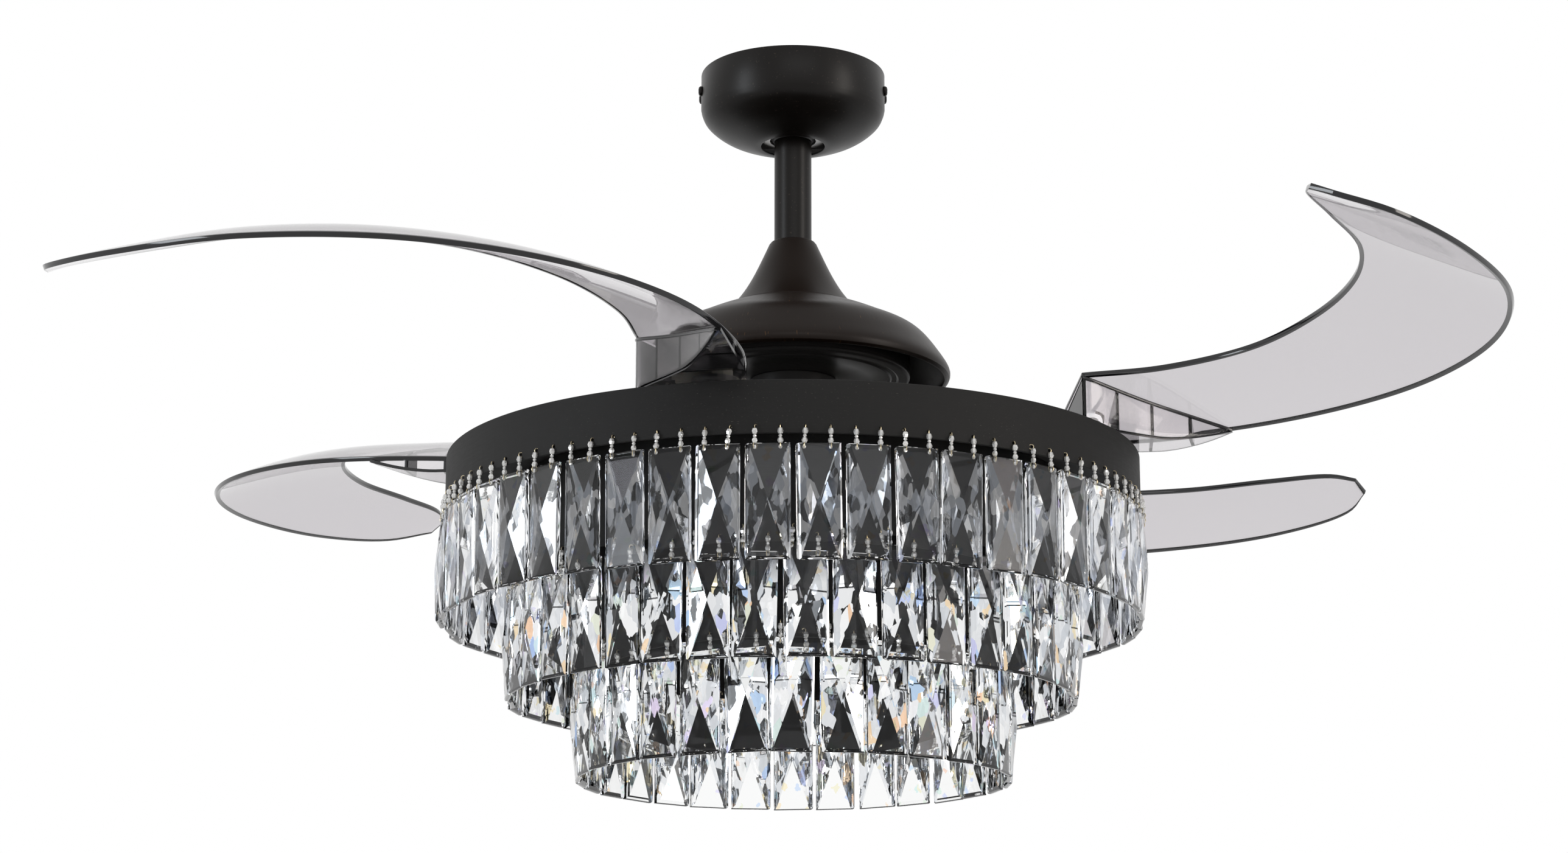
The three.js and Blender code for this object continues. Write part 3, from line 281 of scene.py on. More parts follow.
def turned(name, outline, wall=0.0, steps=ROUND_STEPS):
    """Points of (radius, height) turned about Z: a closed outline, or an outer skin with a wall."""
    start_clean()
    bpy.ops.mesh.primitive_circle_add(vertices=len(outline), radius=1)
    piece = bpy.context.object
    piece.name = name
    for vertex, (r, z) in zip(piece.data.vertices, outline):
        vertex.co = (r, 0, z)
    shape = edit()
    if wall:
        bpy.ops.mesh.select_all(action="DESELECT")
        shape.verts.ensure_lookup_table()
        for edge in shape.edges:
            edge.select = {v.index for v in edge.verts} == {0, len(outline) - 1}
        bpy.ops.mesh.delete(type="EDGE_FACE")
        bpy.ops.mesh.select_all(action="SELECT")
    bpy.ops.mesh.spin(steps=steps, angle=2 * math.pi, center=(0, 0, 0), axis=(0, 0, 1))
    bpy.ops.mesh.select_all(action="SELECT")
    bpy.ops.mesh.remove_doubles(threshold=0.00002)
    bpy.ops.mesh.normals_make_consistent(inside=False)
    bpy.ops.object.mode_set(mode="OBJECT")
    if wall:
        outward = sum(p.normal.dot((p.center.x, p.center.y, 0)) * p.area for p in piece.data.polygons)
        if outward < 0:
            piece.data.flip_normals()
        use(piece, "SOLIDIFY", thickness=wall, offset=-1, use_even_offset=True)
        use(piece, "BEVEL", width=wall * 0.3, segments=2, limit_method="ANGLE",
            angle_limit=math.radians(50))
    smooth(piece)
    return piece


def finished(piece, finish, body, slot, *stands_for):
    """Gives a piece its material, its body and the CAD nodes that it stands for."""
    if finish:
        piece.data.materials.clear()
        piece.data.materials.append(finish.material)
    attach(piece, body)
    if stands_for:
        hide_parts(*stands_for)


satin_black = Finish("satin_brown_black_paint")
streak = satin_black.noise(40, 4.0, satin_black.place((1, 1, 0.08)))
peel = satin_black.noise(900, 2.0)
fleck = satin_black.ramp(satin_black.noise(520, 1.0), 0.70, 0.74)
paint = satin_black.blend(streak, (0.0034, 0.0027, 0.0023, 1), (0.0064, 0.0048, 0.0040, 1))
satin_black.set(
    Base_Color=satin_black.blend(fleck * 0.35, paint, (0.060, 0.047, 0.036, 1)),
    Metallic=0.0,
    Roughness=streak * 0.10 + 0.30,
    Specular_IOR_Level=0.17,
    Normal=satin_black.bump(peel + streak * 0.4, 0.10, 0.0002),
)

bowl = [(0, 0), (0.064, 0.253), (0.18, 0.456), (0.363, 0.663), (0.62, 0.842), (0.893, 0.986), (1, 1)]
bowl = [(CANOPY_R + (CANOPY_MOUTH_R - CANOPY_R) * inward,
         CANOPY_WALL_Z + (CANOPY_MOUTH_Z - CANOPY_WALL_Z) * down) for inward, down in bowl]
shoulder = [(CANOPY_R, CANOPY_TOP_Z), (CANOPY_R, CANOPY_WALL_Z + SHOULDER_H),
            (CANOPY_R - SHOULDER_R, CANOPY_WALL_Z)]
canopy = turned("canopy_bell", shoulder + [tuple(p) for p in smooth_line(bowl, 44)][1:], CANOPY_WALL)
finished(canopy, satin_black, "root", "satin_black", "canopy")

# ---- Canopy screws: pan heads with a cross recess ----
# Turned steel, blackened with the canopy. They pass through its wall into the bracket's arms.
SCREW_Z = -15 * MM
SCREW_SPREAD = 9 * MM
SCREW_HEAD_R = 4 * MM
SCREW_HEAD_T = 2.6 * MM
SCREW_RECESS = 1.1 * MM


def place(piece, matrix):
    piece.data.transform(matrix)
    piece.data.update()


def joined(name, pieces):
    start_clean()
    for piece in pieces:
        piece.select_set(True)
    bpy.context.view_layer.objects.active = pieces[0]
    bpy.ops.object.join()
    pieces[0].name = name
    return pieces[0]


def copied(piece, name, matrix):
    made = piece.copy()
    made.data = piece.data.copy()
    made.name = name
    bpy.context.scene.collection.objects.link(made)
    place(made, matrix)
    return made


def carve(piece, cutter):
    use(piece, "BOOLEAN", operation="DIFFERENCE", object=cutter, solver="EXACT")
    bpy.data.objects.remove(cutter)


def screw_head(name, radius, height, recess):
    """A pan head that stands on the plane z = 0, with a cross recess in its top."""
    rim = [(0.0001 * MM, height), (radius * 0.45, height * 0.97), (radius * 0.75, height * 0.84),
           (radius * 0.94, height * 0.55), (radius, height * 0.2), (radius, 0), (0.0001 * MM, 0)]
    head = turned(name, rim, steps=28)
    for across in (0, 1):
        size = (radius * 1.05, radius * 0.26, recess * 2)
        bpy.ops.mesh.primitive_cube_add(size=1, location=(0, 0, height))
        slot_cutter = bpy.context.object
        place(slot_cutter, Matrix.Diagonal((*size, 1)))
        place(slot_cutter, Matrix.Rotation(across * math.pi / 2, 4, "Z"))
        carve(head, slot_cutter)
    smooth(head, 35)
    return head


screw_places = [(1, -SCREW_SPREAD), (1, SCREW_SPREAD), (-1, -SCREW_SPREAD), (-1, SCREW_SPREAD)]
for number, (side, y) in enumerate(screw_places, 1):
    head = screw_head(f"screw_head_{number}", SCREW_HEAD_R, SCREW_HEAD_T, SCREW_RECESS)
    place(head, Matrix.Rotation(0.5 * number, 4, "Z"))
    wall_x = math.sqrt(CANOPY_R**2 - y**2)
    lean = Matrix.Rotation(math.pi / 2 * side, 4, "Y")
    place(head, Matrix.Translation((side * wall_x, y, SCREW_Z)) @ lean)
    finished(head, satin_black, "root", "satin_black", f"canopy_screw_{number}")

# ---- Hanger ball and downrod ----
# The ball is moulded in black nylon and sits in the bracket's cradle. The rod is a drawn steel
# tube with rolled ends, pinned to the ball above and to the motor's yoke below.
BALL_R = 22 * MM
BALL_Z = -37.5 * MM
BALL_TOP_Z = -23.9 * MM
ROD_R = 14.35 * MM
ROD_WALL = 2 * MM
ROD_TOP_Z = -15.9 * MM
ROD_BOTTOM_Z = -174 * MM
ROD_LIP = 0.5 * MM
BALL_BORE_R = ROD_R + 0.25 * MM
BALL_MOUTH_R = ROD_R + 0.4 * MM

black_nylon = Finish("moulded_black_nylon")
grain = black_nylon.noise(1500, 2.0)
haze = black_nylon.noise(60)
black_nylon.set(
    Base_Color=black_nylon.blend(haze, (0.018, 0.017, 0.018, 1), (0.032, 0.030, 0.031, 1)),
    Roughness=haze * 0.15 + 0.38,
    Normal=black_nylon.bump(grain, 0.25, 0.0001),
)
low_angle = -math.acos(BALL_MOUTH_R / BALL_R)
high_angle = math.asin((BALL_TOP_Z - BALL_Z) / BALL_R)
ball_skin = [(BALL_R * math.cos(a), BALL_Z + BALL_R * math.sin(a))
             for a in np.linspace(low_angle, high_angle, 22)]
ball_bore = [(BALL_BORE_R, BALL_TOP_Z), (BALL_BORE_R, ball_skin[0][1])]
ball = turned("hanger_ball_moulding", ball_skin + ball_bore)
finished(ball, black_nylon, "root", "black_nylon", "hanger_ball")

rod_outline = [(ROD_R - ROD_WALL, ROD_BOTTOM_Z + ROD_LIP), (ROD_R - ROD_WALL + ROD_LIP, ROD_BOTTOM_Z),
               (ROD_R - ROD_LIP, ROD_BOTTOM_Z), (ROD_R, ROD_BOTTOM_Z + ROD_LIP),
               (ROD_R, ROD_TOP_Z - ROD_LIP), (ROD_R - ROD_LIP, ROD_TOP_Z),
               (ROD_R - ROD_WALL + ROD_LIP, ROD_TOP_Z), (ROD_R - ROD_WALL, ROD_TOP_Z - ROD_LIP)]
downrod = turned("downrod_tube", rod_outline)
finished(downrod, satin_black, "root", "satin_black", "downrod")

# ---- Coupling cover and motor dome: spun steel in dark oil-rubbed bronze ----
# The cover is a flared cup with a rolled neck, and stands on the dome. The dome is fixed under
# the yoke, hides the motor and ends in a rolled lip. Fine rubbed lines run down both.
HEAD_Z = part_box("light_ring")[1].z
COVER_FOOT_Z = HEAD_Z + 124.3 * MM
COVER_H = 53.2 * MM
COVER_TOP_R = 17.5 * MM
COVER_FOOT_R = 48 * MM
COVER_WALL = 1.6 * MM
NECK_ROLL = 1.3 * MM
DOME_R = 120 * MM
DOME_TOP_Z = HEAD_Z + 125 * MM
DOME_SEAT_Z = HEAD_Z + 124 * MM
DOME_RIM_Z = HEAD_Z + 66.5 * MM
DOME_HOLE_R = 16 * MM
DOME_WALL = 2 * MM


def wrapped_noise(finish, round_axis, along_axis, scale, detail):
    """Noise laid round Z like a sheet, drawn out by its two rates into lines."""
    where = finish.node("TexCoord", output="Object")
    parts = finish.node("SeparateXYZ", sockets={"Vector": where})
    x, y, z = (Value(finish, parts.socket.node.outputs[axis]) for axis in "XYZ")
    turn = finish.node("Math", {"operation": "ARCTAN2"}, {0: y, 1: x})
    sheet = finish.node("CombineXYZ", sockets={"X": turn * round_axis, "Y": z * along_axis, "Z": 0.0})
    return finish.node("TexNoise", sockets={"Vector": sheet, "Scale": scale, "Detail": detail})


bronze = Finish("oil_rubbed_bronze")
lines = wrapped_noise(bronze, 9.0, 3.0, 22.0, 5.0)
dashes = wrapped_noise(bronze, 13.0, 26.0, 6.0, 1.0)
patch = bronze.noise(14, 3.0)
worn = bronze.ramp(dashes, 0.71, 0.76) * bronze.ramp(patch, 0.45, 0.65)
rubbed = bronze.blend(lines, (0.0044, 0.0025, 0.0017, 1), (0.0100, 0.0056, 0.0036, 1))
rubbed = bronze.blend(patch * 0.5, rubbed, (0.0130, 0.0072, 0.0044, 1))
bronze.set(
    Base_Color=bronze.blend(worn * 0.8, rubbed, (0.130, 0.070, 0.026, 1)),
    Metallic=0.1,
    Roughness=lines * 0.16 + 0.30,
    Specular_IOR_Level=0.17,
    Normal=bronze.bump(lines + worn, 0.12, 0.0003),
)

flare = []
for t in np.linspace(0, 1, 30):
    share = 0.78 * (1 - t) + 0.22 * (1 - t) ** 4
    flare.append((COVER_TOP_R + (COVER_FOOT_R - COVER_TOP_R) * share, COVER_FOOT_Z + COVER_H * t))
neck = [(COVER_TOP_R - NECK_ROLL * (1 - math.cos(a)), flare[-1][1] - NECK_ROLL * (1 - math.sin(a)))
        for a in np.linspace(0, math.pi / 2, 6)]
cover = turned("coupling_cover_cup", flare[:-1] + neck, COVER_WALL)
finished(cover, bronze, "root", "bronze", "coupling_cover")

flank = [(0.167, 0.064), (0.442, 0.217), (0.706, 0.391), (0.904, 0.687), (1, 0.901), (0.986, 0.974),
         (0.942, 1)]
flank = [(COVER_FOOT_R + (DOME_R - COVER_FOOT_R) * outward,
          DOME_SEAT_Z + (DOME_RIM_Z - DOME_SEAT_Z) * down) for outward, down in flank]
dome_skin = smooth_line([(DOME_HOLE_R + 8 * MM, DOME_TOP_Z), (COVER_FOOT_R, DOME_SEAT_Z), *flank], 64)
dome = turned("motor_dome_shell", [(DOME_HOLE_R, DOME_TOP_Z)] + [tuple(p) for p in dome_skin],
              DOME_WALL)
finished(dome, bronze, "root", "bronze", "motor_dome")

# ---- Rotor cup, rotor plate and hub column: what turns under the dome ----
# The cup is drawn steel, closed below by a pressed plate with a rounded rim. The column under it
# is turned aluminium, painted black, and carries the blade carrier.
ROTOR_R = 89.5 * MM
rotor_levels = {"plate_low": 68, "plate_high": 74, "cup_low": 71.3, "shoulder": 100, "cup_top": 109}
rotor_levels = {name: HEAD_Z + z * MM for name, z in rotor_levels.items()}
CUP_WALL = 3 * MM
CUP_HOLE_R = 12 * MM
CUP_HOLE_UP = 2 * MM
BEARING_SEAT_R = 16.2 * MM
BEARING_COLLAR_R = 20 * MM
BEARING_COLLAR_H = 7 * MM
PLATE_T = 3 * MM
PLATE_MOUTH_R = 25 * MM
# Each ring pressed into the plate: its inner and outer radius, its slope's width and its depth
PRESSED_RINGS = [(36, 60, 2, 0.7), (74, 80.5, 1.5, 0.9)]

rotor_black = Finish("semi_gloss_black_paint")
cloud = rotor_black.noise(35)
orange_peel = rotor_black.noise(700, 2.0)
rotor_black.set(
    Base_Color=rotor_black.blend(cloud, (0.022, 0.021, 0.021, 1), (0.034, 0.032, 0.031, 1)),
    Roughness=cloud * 0.12 + 0.34,
    Specular_IOR_Level=0.10,
    Normal=rotor_black.bump(orange_peel, 0.08, 0.0002),
)
cup_low, cup_top, shoulder_z = (rotor_levels[name] for name in ("cup_low", "cup_top", "shoulder"))
cup = turned("rotor_cup_shell", [
    (ROTOR_R, cup_low), (ROTOR_R, shoulder_z), (ROTOR_R - 1.2 * MM, shoulder_z + 2.4 * MM),
    (ROTOR_R - 14 * MM, cup_top), (CUP_HOLE_R, cup_top + 2 * CUP_HOLE_UP),
    (CUP_HOLE_R, cup_top + CUP_HOLE_UP), (BEARING_SEAT_R, cup_top + CUP_HOLE_UP),
    (BEARING_SEAT_R, cup_top - BEARING_COLLAR_H), (BEARING_COLLAR_R, cup_top - BEARING_COLLAR_H),
    (BEARING_COLLAR_R, cup_top - CUP_WALL), (ROTOR_R - 15 * MM, cup_top - CUP_WALL),
    (ROTOR_R - CUP_WALL, cup_top - 10 * MM), (ROTOR_R - CUP_WALL, cup_low),
])
finished(cup, rotor_black, "rotor", "satin_black", "rotor_cup")
low, high = rotor_levels["plate_low"], rotor_levels["plate_low"] + PLATE_T
rounded = [(ROTOR_R - PLATE_T + PLATE_T * math.sin(a), low + PLATE_T * (1 - math.cos(a)) * 0.6)
           for a in np.linspace(0, math.pi / 2, 6)]
rings = []
for start, end, slope, depth in PRESSED_RINGS:
    rings += [(start * MM, low), ((start + slope) * MM, low + depth * MM),
              ((end - slope) * MM, low + depth * MM), (end * MM, low)]
plate = turned("rotor_plate_pressing", [
    (PLATE_MOUTH_R, low + 0.4 * MM), (PLATE_MOUTH_R + 0.6 * MM, low), *rings, *rounded,
    (ROTOR_R, high), (ROTOR_R - 3.3 * MM, high), (ROTOR_R - 3.3 * MM, high + 3 * MM),
    (ROTOR_R - 7 * MM, high + 3 * MM), (ROTOR_R - 8 * MM, high), (PLATE_MOUTH_R, high),
])
finished(plate, rotor_black, "rotor", "satin_black", "rotor_plate")

# The column's outline: radius and height over the ring's top, in millimetres
column_outline = [(20, -14.5), (20, 1.3), (45.2, 1.3), (46, 2.1), (46, 5.2), (45.2, 6.3), (41, 9),
                  (37.6, 13.5), (35.5, 20), (33.4, 30), (32, 44), (31.8, 54), (32.4, 62), (33, 65.5),
                  (33, 67), (32.3, 67.7), (14, 67.7), (14, -4.5), (16.2, -4.5), (16.2, -14.5)]
column = turned("hub_column_turning", [(r * MM, HEAD_Z + z * MM) for r, z in column_outline])
finished(column, rotor_black, "rotor", "satin_black", "hub_column")

# ---- Finishes of the motor, the hanging set and the blade drive ----
# These pieces keep their working shape: zinc-plated steel for pins, shaft, yoke, bearings and
# the carrier, sheet-steel laminations, enamelled copper, sintered ferrite and moulded nylon.
steel = Finish("zinc_plated_steel")
spangle = steel.node("TexVoronoi", sockets={"Vector": steel.place(), "Scale": 160.0})
wear = steel.noise(25, 4.0)
scratches = steel.noise(60, 3.0, steel.place((1, 14, 14)))
steel.set(
    Base_Color=steel.blend(wear, (0.36, 0.36, 0.37, 1), (0.52, 0.51, 0.49, 1)),
    Metallic=0.95,
    Roughness=spangle * 0.12 + wear * 0.12 + 0.24,
    Normal=steel.bump(scratches, 0.06, 0.0002),
)
laminations = Finish("stacked_sheet_steel")
stack = laminations.node(
    "TexWave", {"bands_direction": "Z"}, {"Vector": laminations.place(), "Scale": 320.0})
burr = laminations.noise(300)
laminations.set(
    Base_Color=laminations.blend(stack, (0.060, 0.062, 0.066, 1), (0.145, 0.150, 0.156, 1)),
    Metallic=0.8,
    Roughness=burr * 0.2 + 0.38,
    Normal=laminations.bump(stack, 0.4, 0.0003),
)
copper = Finish("enamelled_copper_wire")
wires = copper.node("TexWave", {"wave_type": "RINGS", "rings_direction": "Z"},
                    {"Vector": copper.place(), "Scale": 420.0, "Distortion": 0.6})
tone = copper.noise(40)
copper.set(
    Base_Color=copper.blend(tone, (0.33, 0.075, 0.022, 1), (0.47, 0.135, 0.045, 1)),
    Metallic=0.8,
    Roughness=wires * 0.15 + 0.28,
    Normal=copper.bump(wires, 0.6, 0.0004),
)
ferrite = Finish("sintered_ferrite")
pores = ferrite.noise(450)
ferrite.set(
    Base_Color=ferrite.blend(pores, (0.022, 0.020, 0.019, 1), (0.050, 0.046, 0.043, 1)),
    Roughness=pores * 0.2 + 0.5,
    Normal=ferrite.bump(pores, 0.3, 0.0002),
)
nylon = Finish("moulded_natural_nylon")
flow = nylon.noise(22)
matt = nylon.noise(1100)
nylon.set(
    Base_Color=nylon.blend(flow, (0.58, 0.54, 0.45, 1), (0.68, 0.65, 0.57, 1)),
    Roughness=flow * 0.15 + 0.42,
    Subsurface_Weight=0.1,
    Normal=nylon.bump(matt, 0.2, 0.0001),
)
finish_of_slot = {"steel": steel, "laminations": laminations, "copper": copper, "magnet": ferrite,
                  "nylon": nylon, "black_nylon": black_nylon, "satin_black": satin_black,
                  "bronze": bronze}


# ---- Blades: four smoke-grey mouldings that fold in over the ring ----
# Each is injected in clear smoke acrylic: a curved leaf, 3.6 mm thick, and at its root a ribbed box
# round the boss that it turns on. The box's wall crosses the leaf. Its edges are painted near-black
# as painted shade, in place of the dark look of light through the clear edges.
PIVOT = Vector((0.2183165, -0.0544324, HEAD_Z))
BLADES = 4
LEAF_T = 3.6
LEAF_CAMBER = 5
LEAF_SHADE_BORDER = 0.03
ALONG = 88
ACROSS = 14
BASE_Z = 4
BASE_T = 2.4
BOSS_R = 13
BOSS_TOP = 22.5
BOSS_RIM = 0.6
ROOT_SHARE = 0.19
ROOT_LEVEL = 0.6
RIB_SHARES = (0.3, 0.55, 0.78)
RIB_T = 2.4
WALL_BEAD_H = 2.0
WALL_BEAD_T = RIB_T + 1.4
BORE_R = 6.2
CLEAR_TOP = BOSS_TOP + 45
INNER_EDGE = [(-8, -54, 44), (51, -65, 47), (110, -100, 53), (147, -158, 61), (161, -226, 66),
              (153, -295, 68), (124, -359, 69), (101, -409, 68), (100, -430, 64)]
OUTER_EDGE = [(-26, 21, 11), (61, 20, 15), (156, -16, 21), (228, -88, 26), (263, -183, 31),
              (255, -285, 35), (208, -376, 39), (151, -431, 47), (112, -440, 56)]
FINE = 601
inner_edge = smooth_line(INNER_EDGE, FINE)
outer_edge = smooth_line(OUTER_EDGE, FINE)


def leaf_point(u, v):
    """A point of the leaf's middle, in millimetres: u from root to tip, v from inner to outer edge."""
    inner, outer = (
        np.array([np.interp(u * (FINE - 1), range(FINE), edge[:, k]) for k in range(3)])
        for edge in (inner_edge, outer_edge)
    )
    point = inner + (outer - inner) * v
    point[2] += LEAF_CAMBER * 4 * v * (1 - v) * math.sin(math.pi * u)
    return point


def root_wall_v(u):
    """How far across the leaf the box's outer wall stands."""
    return 0.97 * (u / ROOT_SHARE) ** 1.2


def root_floor_z(u):
    """The underside of the box's floor, level near the boss and then up to meet the leaf."""
    rise = max(0, u / ROOT_SHARE - ROOT_LEVEL) / (1 - ROOT_LEVEL)
    return BASE_Z + (leaf_point(u, 1)[2] - BASE_T - BASE_Z) * rise**1.5


def sheet_of(name, columns, rows, point_at, thickness, black=""):
    """A grid with a point worked out for each of its corners, given a thickness in millimetres.
    Painted shade in near-black can go on its rim, its rim with a border along both long edges, or all of
    it."""
    start_clean()
    bpy.ops.mesh.primitive_grid_add(x_subdivisions=columns, y_subdivisions=rows, size=2)
    piece = bpy.context.object
    piece.name = name
    across = [(vertex.co.y + 1) / 2 for vertex in piece.data.vertices]
    for vertex, v in zip(piece.data.vertices, across):
        vertex.co = point_at((vertex.co.x + 1) / 2, v)
    piece.data.materials.append(smoke.material)
    piece.data.materials.append(painted_shade_edge.material)
    if black == "border":
        for face in piece.data.polygons:
            middle = sum(across[i] for i in face.vertices) / 4
            face.material_index = int(abs(middle - 0.5) > 0.5 - 1 / rows)
    use(piece, "SOLIDIFY", thickness=thickness, offset=0.0, use_even_offset=True,
        material_offset_rim=1 if black else 0)
    if black == "all":
        for face in piece.data.polygons:
            face.material_index = 1
    return piece


def boss(name, r, low, high):
    outline = [(0.001, low), (r, low), (r, high - BOSS_RIM), (r - BOSS_RIM, high), (0.001, high)]
    return turned(name, outline, steps=48)


smoke = Finish("smoke_acrylic")
ripple = smoke.noise(9, 2.0)
smoke.set(
    Base_Color=smoke.blend(ripple, (0.955, 0.948, 0.958, 1), (0.975, 0.97, 0.972, 1)),
    Roughness=ripple * 0.03 + 0.01,
    IOR=1.49,
    Transmission_Weight=1.0,
    Specular_Tint=(0.6, 0.6, 0.6, 1),
)
smoke_depth = smoke.node(
    "VolumeAbsorption", sockets={"Color": (0.40, 0.36, 0.395, 1), "Density": 165.0}, output=0)
smoke.tree.links.new(
    smoke_depth.socket, smoke.tree.nodes["Material Output"].inputs["Volume"])

# Painted shade: an opaque near-black finish for the blade's edges, the box's end wall, bead and ribs,
# where clear smoke plastic only looks dark because light crosses so much of it.
painted_shade_edge = Finish("painted_shade_blade_edge")
edge_tone = painted_shade_edge.noise(30)
painted_shade_edge.set(
    Base_Color=painted_shade_edge.blend(edge_tone, (0.0040, 0.0039, 0.0048, 1), (0.0085, 0.0082, 0.0100, 1)),
    Roughness=edge_tone * 0.05 + 0.06,
    Specular_IOR_Level=0.5,
)


def bordered_leaf(u, v):
    """The leaf with a narrow first and last strip, which carry its painted dark border of painted shade.
    """
    rows = (0, 1 / ACROSS, 1 - 1 / ACROSS, 1)
    return leaf_point(u, np.interp(v, rows, (0, LEAF_SHADE_BORDER, 1 - LEAF_SHADE_BORDER, 1)))


leaf = sheet_of("leaf", ALONG, ACROSS, bordered_leaf, LEAF_T, "border")
use(leaf, "BEVEL", width=0.9, segments=2, limit_method="ANGLE", angle_limit=math.radians(60))


def wall_point(path):
    """Points of an upright wall: u along a path on the leaf, v from the floor up to the leaf."""
    def at(u, v):
        along, across = path(u)
        top = leaf_point(along, across)
        foot = root_floor_z(along) + BASE_T / 2
        return (top[0], top[1], foot + (top[2] - foot) * v)
    return at


def bead_point(u, v):
    """Points of the thick bead along the wall's top, just under the leaf."""
    top = leaf_point(ROOT_SHARE * u, root_wall_v(ROOT_SHARE * u))
    return (top[0], top[1], top[2] - LEAF_T / 2 - WALL_BEAD_H * (1 - v))


# Painted shade: the rim of the box's floor, and all of its end wall, wall bead and ribs, are near-black
# in place of the dark look of light through layers of clear plastic.
base = sheet_of(
    "base", 28, 10,
    lambda u, v: (*leaf_point(ROOT_SHARE * u, root_wall_v(ROOT_SHARE * u) * (1 - v) + v)[:2],
                  root_floor_z(ROOT_SHARE * u) + BASE_T / 2),
    BASE_T, "rim",
)
walls = [
    sheet_of("outer_wall", 28, 4, wall_point(
        lambda u: (ROOT_SHARE * u, root_wall_v(ROOT_SHARE * u))), RIB_T),
    sheet_of("end_wall", 14, 4, wall_point(lambda u: (0.004, 0.01 + 0.98 * u)), RIB_T, "all"),
    sheet_of("wall_bead", 20, 2, bead_point, WALL_BEAD_T, "all"),
]
for number, share in enumerate(RIB_SHARES):
    rib_u = ROOT_SHARE * share
    walls.append(sheet_of(f"rib_{number}", 8, 4, wall_point(
        lambda u, rib_u=rib_u: (rib_u, root_wall_v(rib_u) * (1 - u) + 0.995 * u)), RIB_T, "all"))
for wall in walls:
    use(wall, "BEVEL", width=0.5, segments=2, limit_method="ANGLE", angle_limit=math.radians(60))
blade_body = leaf
for part in [base, *walls, boss("boss", BOSS_R, BASE_Z, BOSS_TOP)]:
    use(blade_body, "BOOLEAN", operation="UNION", object=part, solver="EXACT")
    bpy.data.objects.remove(part)
carve(blade_body, boss("bore", BORE_R, BASE_Z - 10, CLEAR_TOP))
carve(blade_body, boss("above", BOSS_R, BOSS_TOP, CLEAR_TOP))
# Drops the few doubled faces that the unions leave, before the copies share this mesh
blade_body.data.validate()
smooth(blade_body, 40)

# A hair under full size, so that the finished edge stays inside the faceted one
SHRINK = 0.9985
place(blade_body, Matrix.Translation(PIVOT) @ Matrix.Diagonal((SHRINK * MM, SHRINK * MM, MM, 1)))


def blade_turn(number):
    return Matrix.Rotation(-2 * math.pi / BLADES * (number - 1), 4, "Z")


for number in range(1, BLADES + 1):
    blade = copied(blade_body, f"blade_moulding_{number}", blade_turn(number))
    finished(blade, None, f"blade_unit_{number}", "smoke", f"blade_{number}")
bpy.data.objects.remove(blade_body)

# ---- Pivot shafts: a ground pin with a domed socket head in each blade's boss ----
# Turned and plated steel. The blade, the pinion under the carrier and the clip turn with it.
PIN_TOP = 25
HEX_R = 3.2
HEX_DEPTH = 1.5
PIN_OUTLINE = [(0.001, -12.9), (5.4, -12.9), (6, -12.3), (6, 22.8), (9.4, 22.8), (10, 23.3),
               (9.7, 24.2), (8.2, 24.9), (0.001, PIN_TOP)]
for number in range(1, BLADES + 1):
    pin = turned(f"pivot_pin_{number}", PIN_OUTLINE, steps=48)
    start_clean()
    bpy.ops.mesh.primitive_cylinder_add(
        vertices=6, radius=HEX_R, depth=HEX_DEPTH * 2, location=(0, 0, PIN_TOP))
    carve(pin, bpy.context.object)
    smooth(pin, 35)
    place(pin, blade_turn(number) @ Matrix.Translation(PIVOT) @ Matrix.Scale(MM, 4))
    finished(pin, steel, f"blade_unit_{number}", "steel", f"pivot_shaft_{number}")

# ---- Light ring, tier bands and lamp plate: rolled and pressed sheet, matte charcoal ----
# Each band is rolled from strip and welded, with a row of small holes just above its foot for
# the bead strings. A fine brushed grain runs round it, with a few scuffs down to the metal.
RING_R = 261.25 * MM
RING_H = 37.6 * MM
RING_T = 2.5 * MM
BAND_T = 1.2 * MM
PLATE_Z = HEAD_Z - 20 * MM
PLATE_SHEET_T = 1.6 * MM
PLATE_RIM_H = 12 * MM
PLATE_STEP_R = 180 * MM
PLATE_BORE_R = 8.2 * MM
TIERS = 3
TIER_STEP = 50 * MM
TIER_DROP = 57.6 * MM
TIER_TOP_Z = HEAD_Z - 44.6 * MM
BAND_CLEAR = 7 * MM
HOLE_R = 1.1 * MM
HOLE_RISE = 4.6 * MM
CRYSTAL_W = 31 * MM
CRYSTAL_H = 80.5 * MM
CRYSTAL_GAP = 3 * MM
STRING_HALF = 8.55 * MM
BAND_FLANGE = 12 * MM
RING_STEPS = 192

charcoal = Finish("matte_charcoal")
brushed = wrapped_noise(charcoal, 4.0, 160.0, 4.0, 6.0)
flecks = wrapped_noise(charcoal, 40.0, 420.0, 3.0, 2.0)
scuffed = charcoal.ramp(flecks, 0.66, 0.74) * charcoal.ramp(charcoal.noise(11), 0.42, 0.62)
coat = charcoal.blend(brushed, (0.0085, 0.0083, 0.0082, 1), (0.0160, 0.0154, 0.0148, 1))
charcoal.set(
    Base_Color=charcoal.blend(scuffed * 0.45, coat, (0.110, 0.100, 0.086, 1)),
    Roughness=brushed * 0.16 + 0.56,
    Specular_IOR_Level=0.20,
    Normal=charcoal.bump(brushed + flecks * 0.4, 0.16, 0.0003),
)


def tier_radius(tier):
    return RING_R - RING_T / 2 - tier * TIER_STEP


def tier_top(tier):
    return TIER_TOP_Z - tier * TIER_DROP


def crystal_count(tier):
    return round(2 * math.pi * tier_radius(tier) / (CRYSTAL_W + CRYSTAL_GAP))


def string_places(tier):
    """The angle of each bead string: two over each crystal."""
    count = crystal_count(tier)
    reach = STRING_HALF / tier_radius(tier)
    middles = [(i + 0.5) * 2 * math.pi / count for i in range(count)]
    return [middle + side * reach for middle in middles for side in (-1, 1)]


